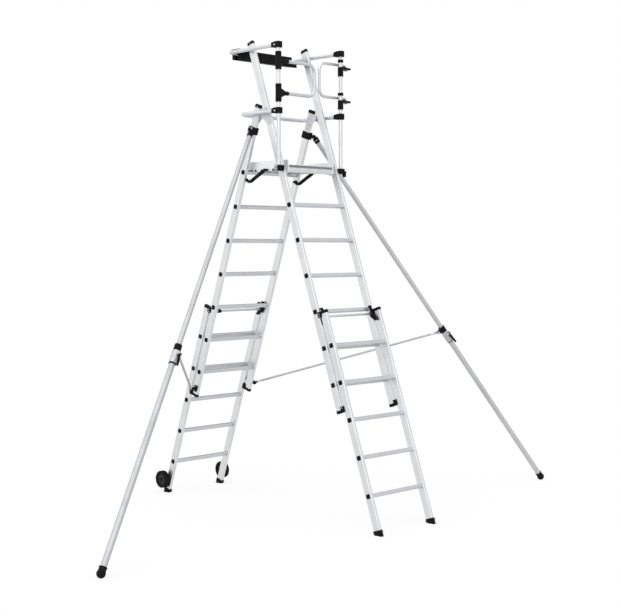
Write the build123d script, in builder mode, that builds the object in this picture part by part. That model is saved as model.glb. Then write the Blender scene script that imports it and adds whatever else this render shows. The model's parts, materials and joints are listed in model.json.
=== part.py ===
from build123d import *
import os
from math import asin, atan2, cos, hypot, sin

os.makedirs("parts", exist_ok=True)

# Folding work platform: two extension ladders hinged to an A-frame, a fold-up deck between them, a guard
# rail with two swing gates, a tool tray and two telescopic outriggers with struts. Millimetres, +Z up,
# the floor at z = 0. X runs from the far ladder (wheels) to the near ladder (gates), Y along the rungs.

# Driving dimensions of the ladders
half_span = 1188.5  # apex to a lower section's centre line, along the floor
ladder_width = 604.0  # over the outer faces of the stiles
section_offset = 77.0  # lower section's centre line to the upper section's, square to the ladder
stile_depth = 60.0
stile_thick = 25.0
stile_wall = 2.5
stile_corner = 4.0
rung_pitch = 280.0
first_rung = 284.0  # along the ladder from the floor
rung_size = 30.0
rung_wall = 2.0
rung_corner = 7.0
lower_head = 246.0  # lower stiles' top end past their top rung
upper_tail = 189.0  # upper stiles' bottom end past their lowest rung
near_head = 45.0  # near stiles' top end past the top rail
far_head = 41.0  # far stiles' top end past the apex hinge
lower_steps = range(1, 6)
near_steps = range(4, 10)
far_steps = range(4, 11)
deck_step = 10  # the rung position that carries the deck

# Apex hinge
apex_rise = 471.5  # apex hinge past the deck's rung, along the ladder
apex_half_gap = 57.35  # apex hinge to each upper stile's centre line, level
apex_plate_thick = 3.0
apex_plate_round = 22.0
apex_plate_up = 18.0
apex_plate_down = 80.0
apex_pin_radius = 6.0
apex_head_radius = 11.0
apex_head_thick = 3.5

# Caps, guides, plugs and feet
cap_lip = 2.0
cap_thick = 22.0
top_cap_thick = 24.0
top_cap_taper = 9.0  # degrees
cap_spigot = 25.0
bottom_guide_length = 22.0
top_guide_length = 22.0
guide_wall = 4.0
guide_reach = 10.0  # of a guide's lips over each stile
plug_size = 34.0
plug_head = 3.0
plug_depth = 18.0
boot_wall = 4.0
boot_seat = 16.0  # stile's bottom end above the floor, along the ladder
boot_height = 22.0

# Rung latch
latch_pivot_in = 10.0  # from the lower section's centre line
latch_pivot_down = 60.0  # below the lower section's top end
latch_pin_radius = 5.0
latch_arm_thick = 10.0
latch_arm_gap = 7.5  # from the stile's inner face
latch_bar_radius = 7.0
latch_bar_in = 42.0
latch_bar_down = 14.0
latch_tip_gap = 3.0  # hook tip to the upper rungs' path

# Wheels
wheel_radius = 70.0
wheel_rim_radius = 47.0
wheel_width = 38.0
wheel_out = 46.76  # wheel axis outside the lower centre line
wheel_along = 102.0
wheel_side_gap = 4.0
axle_radius = 8.0
axle_plate_thick = 6.0
axle_plate_span = 54.0
axle_plate_inside = 14.0  # plate past the lower section's centre line
axle_head_radius = 15.0

# Deck
pivot_tube_radius = 15.0
pivot_tube_wall = 2.5
deck_half_width = 250.0
deck_thick = 24.0
deck_near_lip = 24.0  # deck past its hinge, towards the near ladder
deck_far_lip = 46.0  # deck past the far rung
side_thick = 12.0
side_depth = 16.0  # side members below the deck's underside
side_toe = 36.0  # toe board above the deck's top
side_stop = 56.0  # deep part of the side members ends this far short of the far rung
side_lug = 24.0  # round the deck's hinge
fascia_thick = 5.0
fascia_drop = 30.0  # below the deck's underside
hinge_ring = 17.6
hinge_width = 36.0
hook_width = 40.0
hook_thick = 9.0
hook_drop = 24.0

# Deck stays
stay_radius = 8.5
stay_down = 54.0  # stay pivot below the deck rung, along the far stile
stay_in = 15.0  # stay pivot inside the far stile's centre line
stay_gap = 4.0  # rod's centre line from the stile's inner face, past its radius
stay_bend_x = 37.0
stay_bend_z = -23.0
stay_end_x = 212.0
stay_end_z = 66.0
stay_bend_radius = 16.0
stay_leg_radius = 11.0
stay_eye_radius = 10.5

# Guard rail
post_out = 18.4  # posts from the deck's hinge, away from the deck
post_y = 337.0
post_radius = 15.0
tube_wall = 2.0
rail_rise = 886.7  # top rail above the deck
knee_drop = 7.0  # knee rail below the apex hinge
rail_reach = 315.0  # far end of the top rail from the apex
knee_reach = 200.0
rail_radius = 15.0
rail_bend = 30.0
knee_bend = 60.0
rail_end_gap = 4.0
rail_spacer_radius = 11.0
connector_length = 58.0
connector_up = 24.0
connector_down = 22.0
connector_wall = 6.0
connector_nose = 2.0
socket_drop = 8.7  # sockets' underside below the deck's hinge
socket_height = 42.0
socket_wall = 10.0
socket_floor = 8.0
socket_back = 20.0
socket_round = 8.0

# Gates
left_high_drop = 117.0  # left gate's upper bar below the top rail
left_gate_height = 240.0  # between the left gate's bars
left_gate_end = 45.0
left_gate_radius = 13.0
left_gate_bend = 66.0
sleeve_wall = 8.0
sleeve_height = 134.0
sleeve_arm = 98.0
sleeve_gusset = 34.0
right_high_drop = 82.0  # right gate's upper bar below the top rail
right_gate_height = 258.0  # between the right gate's bars
right_gate_end = 132.0
right_gate_radius = 11.0
right_gate_bend = 58.0
right_gate_in = 33.0  # gate's plane inside the post's axis
right_pivot_out = 92.0  # gate's pivot outside the post's axis
right_pin_length = 40.0
right_pin_bend = 17.0
collar_wall = 7.0
collar_height = 72.0
collar_ring = 22.0
collar_gap = 16.0  # collar ring to the gate bar's centre
arm_drop = 20.0  # gate bar's centre to the collar arm's top
arm_thick = 14.0
arm_round = 17.0

# Tool tray
tray_near_trough = 127.0  # clear width inside the top rail's far end
tray_far_trough = 25.0  # and outside it
tray_left_end = 270.0  # from the middle of the rungs
tray_length = 513.0
tray_near_drop = 77.0  # underside below the top rail's axis, near side
tray_far_drop = 45.0  # and far side
tray_rim_drop = 2.0  # rim below the top rail's axis
tray_wall = 3.5
tray_bridge = 5.0
tray_clip_start = 170.0  # from the tray's left end
tray_clip_length = 180.0
tray_flange_length = 90.0
tray_step_length = 55.0  # lower part at the right end
tray_step_drop = 31.0

# Outriggers
outrigger_down = 179.5  # hinge below the far stiles' top end
outrigger_in = 34.0  # hinge inside the far stile's centre line
outrigger_stand_off = 40.0  # hinge centre outside the stile's outer face
outrigger_foot_x = 733.0  # from the apex
outrigger_foot_y = 2357.0
ball_radius = 30.0
ball_centre = 28.5
foot_collar = 44.0  # leg's socket above the ball's centre
outrigger_radius = 19.0
leg_radius = 21.5
bracket_wall = 6.0
bracket_slab = 14.0
bracket_height = 56.0
hinge_pin_radius = 7.0
hinge_eye_radius = 15.0
hinge_eye_width = 24.0
hinge_boss_radius = 13.0
hinge_arm_thick = 14.0
hinge_head_radius = 12.0
hinge_head_thick = 4.0
yoke_start = 12.0
yoke_length = 44.0
yoke_radius = 22.5
tube_start = 30.0
collar_at = 1975.0  # strut pin from the hinge, along the outrigger
strut_collar_radius = 27.0
strut_collar_up = 30.0
strut_collar_down = 16.0
clamp_gap = 9.0  # strut collar to the leg's top end
leg_overlap = 800.0  # upper tube inside the leg
clamp_radius = 28.5
clamp_length = 96.0
clamp_ear = 20.0
clamp_ear_thick = 9.0
clamp_ear_gap = 12.4
lever_pin_radius = 4.0
lever_length = 92.0
lever_round = 9.0
lever_tip = 6.0
lever_lift = 14.0
lever_pin_out = 40.5
strut_radius = 9.0
strut_fork_radius = 12.0
strut_fork_room = 5.0  # fork's slot past the strut's round end
strut_pin_radius = 5.0
strut_pin_out = 40.5
strut_neck = 30.0
strut_seat_along = 980.0
strut_seat_height = 50.0
strut_seat_depth = 34.0
strut_seat_slab = 9.0
strut_boss_radius = 12.0
strut_boss_length = 30.0
strut_stud_radius = 8.0
strut_stud_length = 18.0
strut_hook_wall = 9.0
strut_hook_gap = 0.6

# Clearances
fit = 0.2  # round a piece that is fixed in its seat
slide_gap = 0.3  # beside a sliding face
turn_gap = 0.1  # round a pin or a turning tube
face_gap = 0.4  # between pieces that pass or rest near each other

# Names for the sides and hands, and values worked out from the sizes above
NEAR, FAR = 1, -1
LEFT, RIGHT = -1, 1
HANDS = {"left": LEFT, "right": RIGHT}
SIDES = {"near": NEAR, "far": FAR}
deck_along = first_rung + (deck_step - 1) * rung_pitch
apex_along = deck_along + apex_rise
slope = asin((half_span - apex_half_gap) / hypot(apex_along, section_offset))
slope = slope - atan2(section_offset, apex_along)
apex_height = apex_along * cos(slope) - section_offset * sin(slope)
lower_top = first_rung + (lower_steps[-1] - 1) * rung_pitch + lower_head
upper_bottom = first_rung + (near_steps[0] - 1) * rung_pitch - upper_tail
stile_y = (ladder_width - stile_thick) / 2
outer_face = ladder_width / 2
inner_face = outer_face - stile_thick
wheel_x = half_span - wheel_along * sin(slope) + wheel_out * cos(slope)
wheel_z = wheel_along * cos(slope) + wheel_out * sin(slope)
foot_reach = half_span + (stile_depth / 2 + boot_wall) / cos(slope)
apex_x = (wheel_x + wheel_radius - foot_reach) / 2  # centres the part's box on X = 0
far_top = apex_along + far_head
outrigger_along = far_top - outrigger_down
latch_along = lower_top - latch_pivot_down


def ladder(side):
    """Cross-section plane on a ladder's foot line: X is the inward normal, Z runs up the ladder."""
    return Plane(
        origin=(apex_x + side * half_span, 0, 0),
        x_dir=(-side * cos(slope), 0, -sin(slope)),
        z_dir=(-side * sin(slope), 0, cos(slope)),
    )


def ladder_side(side, y):
    """Side-view plane of a ladder at a given Y: X is the inward normal, Y runs up the ladder."""
    foot = ladder(side)
    return Plane(origin=foot.origin + Vector(0, y, 0), x_dir=foot.x_dir, z_dir=(0, side, 0))


def spot(side, offset, along, y):
    """Point on a ladder from its offset, its distance up the ladder and its Y."""
    return ladder(side).from_local_coords(Vector(offset, -side * y, along))


def rung_along(step):
    """Distance up the ladder of a rung position."""
    return first_rung + (step - 1) * rung_pitch


def rung_spots(offset, steps):
    """Rung centres in a ladder's side view."""
    return [(offset, rung_along(step)) for step in steps]


def rod(start, end, radius, mode=Mode.ADD):
    """Adds a round bar between two points to the part that is being built, or cuts one from it."""
    span = end - start
    with BuildSketch(Plane(origin=start, z_dir=span)) as section:
        Circle(radius)
    extrude(section.sketch, amount=span.length, mode=mode)


def keep(builder, name):
    """Labels a finished piece and writes it."""
    builder.part.label = name
    export_step(builder.part, f"parts/{name}.step")


def stile(side, hand, offset, low, high, steps, pin_holes):
    """Hollow stile with rung holes through both walls and round holes in its inner wall."""
    with BuildPart() as bar:
        with BuildSketch(ladder(side).offset(low)):
            with Locations((offset, -side * hand * stile_y)):
                RectangleRounded(stile_depth, stile_thick, stile_corner)
                RectangleRounded(
                    stile_depth - 2 * stile_wall,
                    stile_thick - 2 * stile_wall,
                    stile_corner - stile_wall,
                    mode=Mode.SUBTRACT,
                )
        extrude(amount=high - low)
        with BuildSketch(ladder_side(side, 0)):
            with Locations(*rung_spots(offset, steps)):
                RectangleRounded(rung_size + 2 * fit, rung_size + 2 * fit, rung_corner + fit)
        extrude(amount=side * hand * ladder_width, mode=Mode.SUBTRACT)
        for hole_offset, hole_along, hole_radius in pin_holes:
            with BuildSketch(ladder_side(side, 0)):
                with Locations((hole_offset, hole_along)):
                    Circle(hole_radius)
            extrude(amount=side * hand * stile_y, mode=Mode.SUBTRACT)
    return bar


def rungs(side, offset, steps, with_pivot_tube):
    """Row of hollow rungs, with the round tube that the deck turns on where the ladder has one."""
    with BuildPart() as row:
        with BuildSketch(ladder_side(side, 0)):
            with Locations(*rung_spots(offset, steps)):
                RectangleRounded(rung_size, rung_size, rung_corner)
                RectangleRounded(
                    rung_size - 2 * rung_wall,
                    rung_size - 2 * rung_wall,
                    rung_corner - rung_wall,
                    mode=Mode.SUBTRACT,
                )
        extrude(amount=outer_face - fit, both=True)
        if with_pivot_tube:
            with BuildSketch(ladder_side(side, 0)):
                with Locations((offset, deck_along)):
                    Circle(pivot_tube_radius)
                    Circle(pivot_tube_radius - pivot_tube_wall, mode=Mode.SUBTRACT)
            extrude(amount=outer_face - stile_wall - fit, both=True)
    return row


def plugs(side, offset, steps):
    """Plugs in both ends of a row of rungs, with their heads on the stiles' outer faces."""
    spigot = rung_size - 2 * rung_wall - 2 * fit
    with BuildPart() as row:
        for hand in HANDS.values():
            outside = ladder_side(side, hand * outer_face)
            with BuildSketch(outside):
                with Locations(*rung_spots(offset, steps)):
                    RectangleRounded(plug_size, plug_size, rung_corner + (plug_size - rung_size) / 2)
            extrude(amount=side * hand * plug_head)
            with BuildSketch(outside):
                with Locations(*rung_spots(offset, steps)):
                    RectangleRounded(spigot, spigot, rung_corner - rung_wall)
            extrude(amount=-side * hand * plug_depth)
    return row


def end_cap(side, hand, offset, seat, way, thick, taper):
    """Adds a cap on a stile's open end, with a spigot in it. way is 1 at a top end, -1 at a bottom one."""
    place = (offset, -side * hand * stile_y)
    with BuildSketch(ladder(side).offset(seat)) as rim:
        with Locations(place):
            RectangleRounded(stile_depth + 2 * cap_lip, stile_thick + 2 * cap_lip, stile_corner + cap_lip)
    extrude(rim.sketch, amount=way * thick, taper=taper)
    with BuildSketch(ladder(side).offset(seat)) as spigot:
        with Locations(place):
            RectangleRounded(
                stile_depth - 2 * stile_wall - 2 * fit,
                stile_thick - 2 * stile_wall - 2 * fit,
                stile_corner - stile_wall,
            )
    extrude(spigot.sketch, amount=-way * cap_spigot)


def guide(side, hand, own_offset, seat, way, length):
    """Adds a slide guide in the gap between a ladder's two stiles, lipped over both, and its end cap."""
    end_cap(side, hand, own_offset, seat, way, cap_thick, 0)
    gap = section_offset - stile_depth
    play_shift = slide_gap / 2 * (-1 if own_offset == 0 else 1)
    y = -side * hand * stile_y
    lip_y = stile_thick / 2 + slide_gap + guide_wall / 2
    with BuildSketch(ladder(side).offset(seat + way * cap_thick)) as block:
        with Locations((section_offset / 2 + play_shift, y)):
            Rectangle(gap - slide_gap, 2 * lip_y + guide_wall)
        with Locations((section_offset / 2, y - lip_y), (section_offset / 2, y + lip_y)):
            Rectangle(gap + 2 * guide_reach, guide_wall)
    extrude(block.sketch, amount=-way * (cap_thick + length))


def boots(side):
    """Rubber feet: a boot round each stile's bottom end with a flat sole on the floor."""
    with BuildPart() as pair:
        for hand in HANDS.values():
            place = (0, -side * hand * stile_y)
            with BuildSketch(ladder(side).offset(boot_seat + boot_height)):
                with Locations(place):
                    RectangleRounded(
                        stile_depth + 2 * boot_wall, stile_thick + 2 * boot_wall, stile_corner + boot_wall
                    )
            extrude(amount=-2 * (boot_seat + boot_height))
            with BuildSketch(ladder(side).offset(boot_seat)):
                with Locations(place):
                    RectangleRounded(stile_depth + 2 * fit, stile_thick + 2 * fit, stile_corner + fit)
            extrude(amount=2 * boot_height, mode=Mode.SUBTRACT)
        split(bisect_by=Plane.XY, keep=Keep.TOP)
    return pair


def apex_plates(side):
    """Apex hinge plates: the near pair outside the stiles, the far pair inside them with the pins."""
    low = spot(side, section_offset, apex_along - apex_plate_down, 0)
    high = spot(side, section_offset, apex_along + apex_plate_up, 0)
    face = outer_face if side == NEAR else inner_face
    with BuildPart() as pair:
        for hand in HANDS.values():
            with BuildSketch(Plane.XZ.offset(-hand * face)):
                Polygon((low.X, low.Z), (high.X, high.Z), (apex_x, apex_height), align=None)
                offset(amount=apex_plate_round)
            extrude(amount=-hand * side * apex_plate_thick)
            start = Vector(apex_x, hand * (inner_face - apex_plate_thick), apex_height)
            under_head = Vector(apex_x, hand * (outer_face + apex_plate_thick + fit), apex_height)
            end = under_head + Vector(0, hand * apex_head_thick, 0)
            if side == FAR:
                rod(start, end, apex_pin_radius)
                rod(under_head, end, apex_head_radius)
            else:
                rod(start, end, apex_pin_radius + turn_gap, mode=Mode.SUBTRACT)
    return pair


def latch(side):
    """Rung latch: two hooked arms on pins in the lower stiles, joined by a release bar."""
    tip = section_offset - rung_size / 2 - latch_tip_gap
    arm_inner = inner_face - latch_arm_gap - latch_arm_thick
    bar_along = lower_top - latch_bar_down
    hook = [
        (latch_pivot_in - 12, latch_along - 12),
        (latch_pivot_in + 14, latch_along - 12),
        (tip, bar_along - 18),
        (tip, bar_along + 16),
        (tip - 12, bar_along + 22),
        (tip - 12, bar_along + 52),
        (tip, bar_along + 58),
        (tip - 4, bar_along + 70),
        (tip - 30, bar_along + 66),
        (tip - 30, bar_along + 8),
    ]
    with BuildPart() as bar:
        for hand in HANDS.values():
            with BuildSketch(ladder_side(side, hand * arm_inner)):
                with BuildLine():
                    Polyline(*hook, close=True)
                make_face()
            extrude(amount=side * hand * latch_arm_thick)
            rod(
                spot(side, latch_pivot_in, latch_along, hand * arm_inner),
                spot(side, latch_pivot_in, latch_along, hand * (inner_face + stile_wall)),
                latch_pin_radius,
            )
        rod(
            spot(side, latch_bar_in, bar_along, -arm_inner),
            spot(side, latch_bar_in, bar_along, arm_inner),
            latch_bar_radius,
        )
    return bar


# Places that follow from the ladders
deck_pivot = spot(NEAR, section_offset, deck_along, 0)
far_rung = spot(FAR, section_offset, deck_along, 0)
rung_flat = rung_size / 2 - rung_corner
rung_rise = rung_flat * (cos(slope) + sin(slope)) + rung_corner
deck_under = far_rung.Z + rung_rise + face_gap
deck_top = deck_under + deck_thick
post_at = deck_pivot.X + post_out
socket_low = deck_pivot.Z - socket_drop
rail_height = deck_top + rail_rise
knee_height = apex_height - knee_drop
near_top = (rail_height + section_offset * sin(slope)) / cos(slope) + near_head

# The four ladder sections
stay_pivot = (section_offset + stay_in, deck_along - stay_down)
pivot_hole = (section_offset, deck_along, pivot_tube_radius + fit)
stay_hole = (stay_pivot[0], stay_pivot[1], stay_leg_radius + turn_gap)
latch_hole = (latch_pivot_in, latch_along, latch_pin_radius + turn_gap)
upper_top = {"near": near_top, "far": far_top}
upper_steps = {"near": near_steps, "far": far_steps}
upper_holes = {"near": [pivot_hole], "far": [stay_hole]}
for name, side in SIDES.items():
    steps = upper_steps[name]
    for hand_name, hand in HANDS.items():
        upper = stile(side, hand, section_offset, upper_bottom, upper_top[name], steps, upper_holes[name])
        keep(upper, f"{name}_upper_stile_{hand_name}")
        lower = stile(side, hand, 0, boot_seat, lower_top, lower_steps, [latch_hole])
        keep(lower, f"{name}_lower_stile_{hand_name}")
    keep(rungs(side, section_offset, steps, side == NEAR), f"{name}_upper_rungs")
    keep(rungs(side, 0, lower_steps, False), f"{name}_lower_rungs")
    keep(plugs(side, section_offset, steps), f"{name}_upper_plugs")
    keep(plugs(side, 0, lower_steps), f"{name}_lower_plugs")
    with BuildPart() as upper_ends:
        for hand in HANDS.values():
            end_cap(side, hand, section_offset, upper_top[name], 1, top_cap_thick, top_cap_taper)
            guide(side, hand, section_offset, upper_bottom, -1, bottom_guide_length)
    keep(upper_ends, f"{name}_upper_end_caps")
    with BuildPart() as lower_ends:
        for hand in HANDS.values():
            guide(side, hand, 0, lower_top, 1, top_guide_length)
    keep(lower_ends, f"{name}_lower_guides")
    keep(boots(side), f"{name}_feet")
    keep(apex_plates(side), f"{name}_apex_plates")
    keep(latch(side), f"{name}_latch")

# Wheels on the far ladder's lower stiles
wheel_spot = Vector(apex_x - wheel_x, 0, wheel_z)
wheel_inner = outer_face + axle_plate_thick + wheel_side_gap
wheel_outer = wheel_inner + wheel_width
across = Vector(0, 1, 0)
with BuildPart() as wheel_axles:
    for hand in HANDS.values():
        plate_depth = wheel_out + 2 * axle_radius + axle_plate_inside
        with BuildSketch(ladder_side(FAR, hand * outer_face)):
            with Locations((axle_plate_inside - plate_depth / 2, wheel_along)):
                RectangleRounded(plate_depth, axle_plate_span, axle_radius)
        extrude(amount=FAR * hand * axle_plate_thick)
        rod(
            wheel_spot + across * (hand * outer_face),
            wheel_spot + across * (hand * (wheel_outer + face_gap)),
            axle_radius,
        )
        rod(
            wheel_spot + across * (hand * (wheel_outer + face_gap)),
            wheel_spot + across * (hand * (wheel_outer + face_gap + axle_radius / 2)),
            axle_head_radius,
        )
keep(wheel_axles, "wheel_axles")
for hand_name, hand in HANDS.items():
    middle = wheel_spot + across * (hand * (wheel_inner + wheel_outer) / 2)
    wheel_plane = Plane(origin=middle, x_dir=(1, 0, 0), z_dir=(0, hand, 0))
    with BuildPart() as hub:
        with BuildSketch(wheel_plane):
            Circle(wheel_rim_radius)
            Circle(axle_radius + turn_gap, mode=Mode.SUBTRACT)
        extrude(amount=wheel_width / 4, both=True)
        with BuildSketch(wheel_plane):
            Circle(2 * axle_radius)
            Circle(axle_radius + turn_gap, mode=Mode.SUBTRACT)
        extrude(amount=wheel_width / 2, both=True)
    keep(hub, f"{hand_name}_wheel_hub")
    with BuildPart() as tyre:
        with BuildSketch(wheel_plane):
            Circle(wheel_radius)
            Circle(wheel_rim_radius + fit, mode=Mode.SUBTRACT)
        extrude(amount=wheel_width / 2, both=True)
        fillet(tyre.edges().filter_by(GeomType.CIRCLE).group_by(SortBy.RADIUS)[-1], wheel_width / 4)
    keep(tyre, f"{hand_name}_wheel_tyre")

# Deck, side members and fittings
deck_near = deck_pivot.X + deck_near_lip
deck_far = far_rung.X - deck_far_lip
deck_inner = deck_half_width - side_thick
with BuildPart() as deck:
    with BuildSketch(Plane.XY.offset(deck_under)):
        with Locations(((deck_near + deck_far) / 2, 0)):
            Rectangle(deck_near - deck_far, 2 * deck_inner)
    extrude(amount=deck_thick)
    with BuildSketch(Plane.XY.offset(deck_under - fascia_drop)):
        with Locations((deck_near - fascia_thick / 2, 0)):
            Rectangle(fascia_thick, 2 * deck_inner)
    extrude(amount=fascia_drop)
keep(deck, "deck")
deep_end = far_rung.X + side_stop
with BuildPart() as deck_sides:
    for hand in HANDS.values():
        with BuildSketch(Plane.XZ.offset(-hand * deck_inner)):
            with BuildLine():
                Polyline(
                    (deck_far, deck_under),
                    (deep_end, deck_under),
                    (deep_end + side_depth, deck_under - side_depth),
                    (deck_near, deck_under - side_depth),
                    (deck_near, deck_top + side_toe),
                    (deck_far, deck_top + side_toe),
                    close=True,
                )
            make_face()
            with Locations((deck_pivot.X, deck_pivot.Z)):
                Circle(side_lug)
                Circle(pivot_tube_radius + turn_gap, mode=Mode.SUBTRACT)
        extrude(amount=-hand * side_thick)
keep(deck_sides, "deck_sides")
with BuildPart() as deck_fittings:
    for hand in HANDS.values():
        with BuildSketch(Plane.XZ.offset(-hand * deck_inner)):
            with Locations((deck_pivot.X, deck_pivot.Z)):
                Circle(hinge_ring)
                Rectangle(2 * hinge_ring, deck_under - deck_pivot.Z, align=(Align.CENTER, Align.MIN))
                Circle(pivot_tube_radius + turn_gap, mode=Mode.SUBTRACT)
        extrude(amount=hand * hinge_width)
        with BuildSketch(Plane.XZ.offset(-hand * (deck_inner - hinge_width))):
            with BuildLine():
                Polyline(
                    (far_rung.X - rung_rise - face_gap, deck_under),
                    (far_rung.X - rung_rise - face_gap, deck_under - hook_drop),
                    (far_rung.X - rung_rise - face_gap - hook_thick, deck_under - hook_drop),
                    (far_rung.X - rung_rise - face_gap - 2 * hook_thick, deck_under),
                    close=True,
                )
            make_face()
        extrude(amount=hand * hook_width)
    split(bisect_by=Plane.XY.offset(deck_under), keep=Keep.BOTTOM)
keep(deck_fittings, "deck_fittings")

# Deck stays: bent rods that turn in the far stiles and reach the deck's sides
stay_y = inner_face - stay_gap - stay_radius
stay_root = spot(FAR, stay_pivot[0], stay_pivot[1], 0)
with BuildPart() as deck_stays:
    for hand in HANDS.values():
        stay_corner = Vector(stay_root.X, hand * stay_y, stay_root.Z)
        stay_end = stay_corner + Vector(stay_end_x, 0, stay_end_z)
        with BuildLine() as stay_path:
            FilletPolyline(
                stay_corner,
                stay_corner + Vector(stay_bend_x, 0, stay_bend_z),
                stay_end,
                radius=stay_bend_radius,
            )
        with BuildSketch(Plane(origin=stay_path.line @ 0, z_dir=stay_path.line % 0)):
            Circle(stay_radius)
        sweep(path=stay_path.line)
        rod(
            stay_corner - across * (hand * stay_leg_radius),
            stay_corner + across * (hand * (stay_gap + stay_radius + 2 * stile_wall)),
            stay_leg_radius,
        )
        rod(
            stay_end + across * (hand * stay_leg_radius),
            Vector(stay_end.X, hand * (deck_half_width + face_gap), stay_end.Z),
            stay_eye_radius,
        )
keep(deck_stays, "deck_stays")

# Guard posts, sockets and rails
for hand_name, hand in HANDS.items():
    with BuildPart() as post:
        low = Vector(post_at, hand * post_y, socket_low + socket_floor)
        high = Vector(post_at, hand * post_y, rail_height + rail_radius)
        rod(low, high, post_radius)
        rod(low, high, post_radius - tube_wall, mode=Mode.SUBTRACT)
    keep(post, f"guard_post_{hand_name}")
with BuildPart() as post_sockets:
    for hand in HANDS.values():
        socket_outer = post_y + post_radius + socket_wall
        with BuildSketch(Plane.XY.offset(socket_low)) as socket_outline:
            with Locations((post_at, hand * (outer_face + socket_outer) / 2)):
                Rectangle(2 * (post_radius + socket_wall), socket_outer - outer_face)
            outer_corners = socket_outline.vertices().group_by(Axis.Y)[-1 if hand == RIGHT else 0]
            fillet(outer_corners, socket_round)
            with Locations((post_at - socket_back / 2, hand * (outer_face + socket_wall / 2))):
                Rectangle(socket_back + 2 * post_radius, socket_wall)
        extrude(amount=socket_height)
        with BuildSketch(Plane.XY.offset(socket_low + socket_floor)):
            with Locations((post_at, hand * post_y)):
                Circle(post_radius + fit)
        extrude(amount=socket_height, mode=Mode.SUBTRACT)
keep(post_sockets, "post_sockets")


def rail(height, reach, bend, seat):
    """U-shaped rail from post to post round the far end, with a spacer to each near stile."""
    start = post_at - post_radius - rail_end_gap
    far_end = apex_x - reach
    stile_x = spot(NEAR, section_offset, (height + section_offset * sin(slope)) / cos(slope), 0).X
    with BuildPart() as tube:
        with BuildLine() as path:
            FilletPolyline(
                (start, -post_y, height),
                (far_end, -post_y, height),
                (far_end, post_y, height),
                (start, post_y, height),
                radius=bend,
            )
        with BuildSketch(Plane(origin=path.line @ 0, z_dir=path.line % 0)):
            Circle(rail_radius)
            Circle(rail_radius - tube_wall, mode=Mode.SUBTRACT)
        sweep(path=path.line)
    with BuildPart() as spacers:
        for hand in HANDS.values():
            rod(
                Vector(stile_x, hand * seat, height),
                Vector(stile_x, hand * post_y, height),
                rail_spacer_radius,
            )
            rod(
                Vector(stile_x - 3 * rail_spacer_radius, hand * post_y, height),
                Vector(stile_x + 3 * rail_spacer_radius, hand * post_y, height),
                rail_radius + turn_gap,
                mode=Mode.SUBTRACT,
            )
    with BuildPart() as whole:
        add(tube.part)
        add(spacers.part)
    return whole


keep(rail(rail_height, rail_reach, rail_bend, outer_face), "top_rail")
keep(rail(knee_height, knee_reach, knee_bend, outer_face + apex_plate_thick), "knee_rail")

# The gates' places, and the guard's connectors and gate collars
left_bar_high = rail_height - left_high_drop
left_bar_low = left_bar_high - left_gate_height
right_bar_high = rail_height - right_high_drop
right_bar_low = right_bar_high - right_gate_height
gate_x = post_at - right_gate_in
gate_pivot_y = post_y + right_pivot_out
connector_half = rail_radius + connector_wall
with BuildPart() as guard_connectors:
    for hand in HANDS.values():
        for height in (rail_height, knee_height):
            with BuildSketch(Plane.XZ.offset(-hand * (post_y - connector_half))):
                with BuildLine():
                    Polyline(
                        (post_at + connector_half, height - connector_down),
                        (post_at + connector_half, height + connector_up),
                        (post_at - connector_half, height + connector_up),
                        (post_at - connector_length, height + rail_radius + connector_nose),
                        (post_at - connector_length, height - rail_radius - connector_nose),
                        (post_at - connector_half, height - connector_down),
                        close=True,
                    )
                make_face()
            extrude(amount=-hand * 2 * connector_half)
    for height in (right_bar_high, right_bar_low):
        with BuildSketch(Plane.XY.offset(height + collar_gap)):
            with Locations((post_at, post_y)):
                Circle(post_radius + collar_wall)
        extrude(amount=collar_ring)
        with BuildSketch(Plane.XY.offset(height - arm_drop)):
            with Locations((post_at, post_y)):
                Circle(post_radius + collar_wall)
        extrude(amount=-collar_height)
        with BuildSketch(Plane.XY.offset(height - arm_drop)):
            Polygon((post_at, post_y), (gate_x, gate_pivot_y), (post_at, gate_pivot_y), align=None)
            offset(amount=arm_round)
        extrude(amount=-arm_thick)
        pin_top = Vector(gate_x, gate_pivot_y, height - arm_drop)
        rod(
            pin_top + Vector(0, 0, arm_thick),
            pin_top - Vector(0, 0, 2 * arm_thick),
            right_gate_radius + turn_gap,
            mode=Mode.SUBTRACT,
        )
    for hand in HANDS.values():
        rod(
            Vector(post_at, hand * post_y, socket_low),
            Vector(post_at, hand * post_y, rail_height + rail_radius),
            post_radius + fit,
            mode=Mode.SUBTRACT,
        )
        for height in (rail_height, knee_height):
            rod(
                Vector(post_at - 2 * connector_length, hand * post_y, height),
                Vector(post_at - post_radius - rail_end_gap, hand * post_y, height),
                rail_radius + fit,
                mode=Mode.SUBTRACT,
            )
keep(guard_connectors, "guard_connectors")

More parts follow.
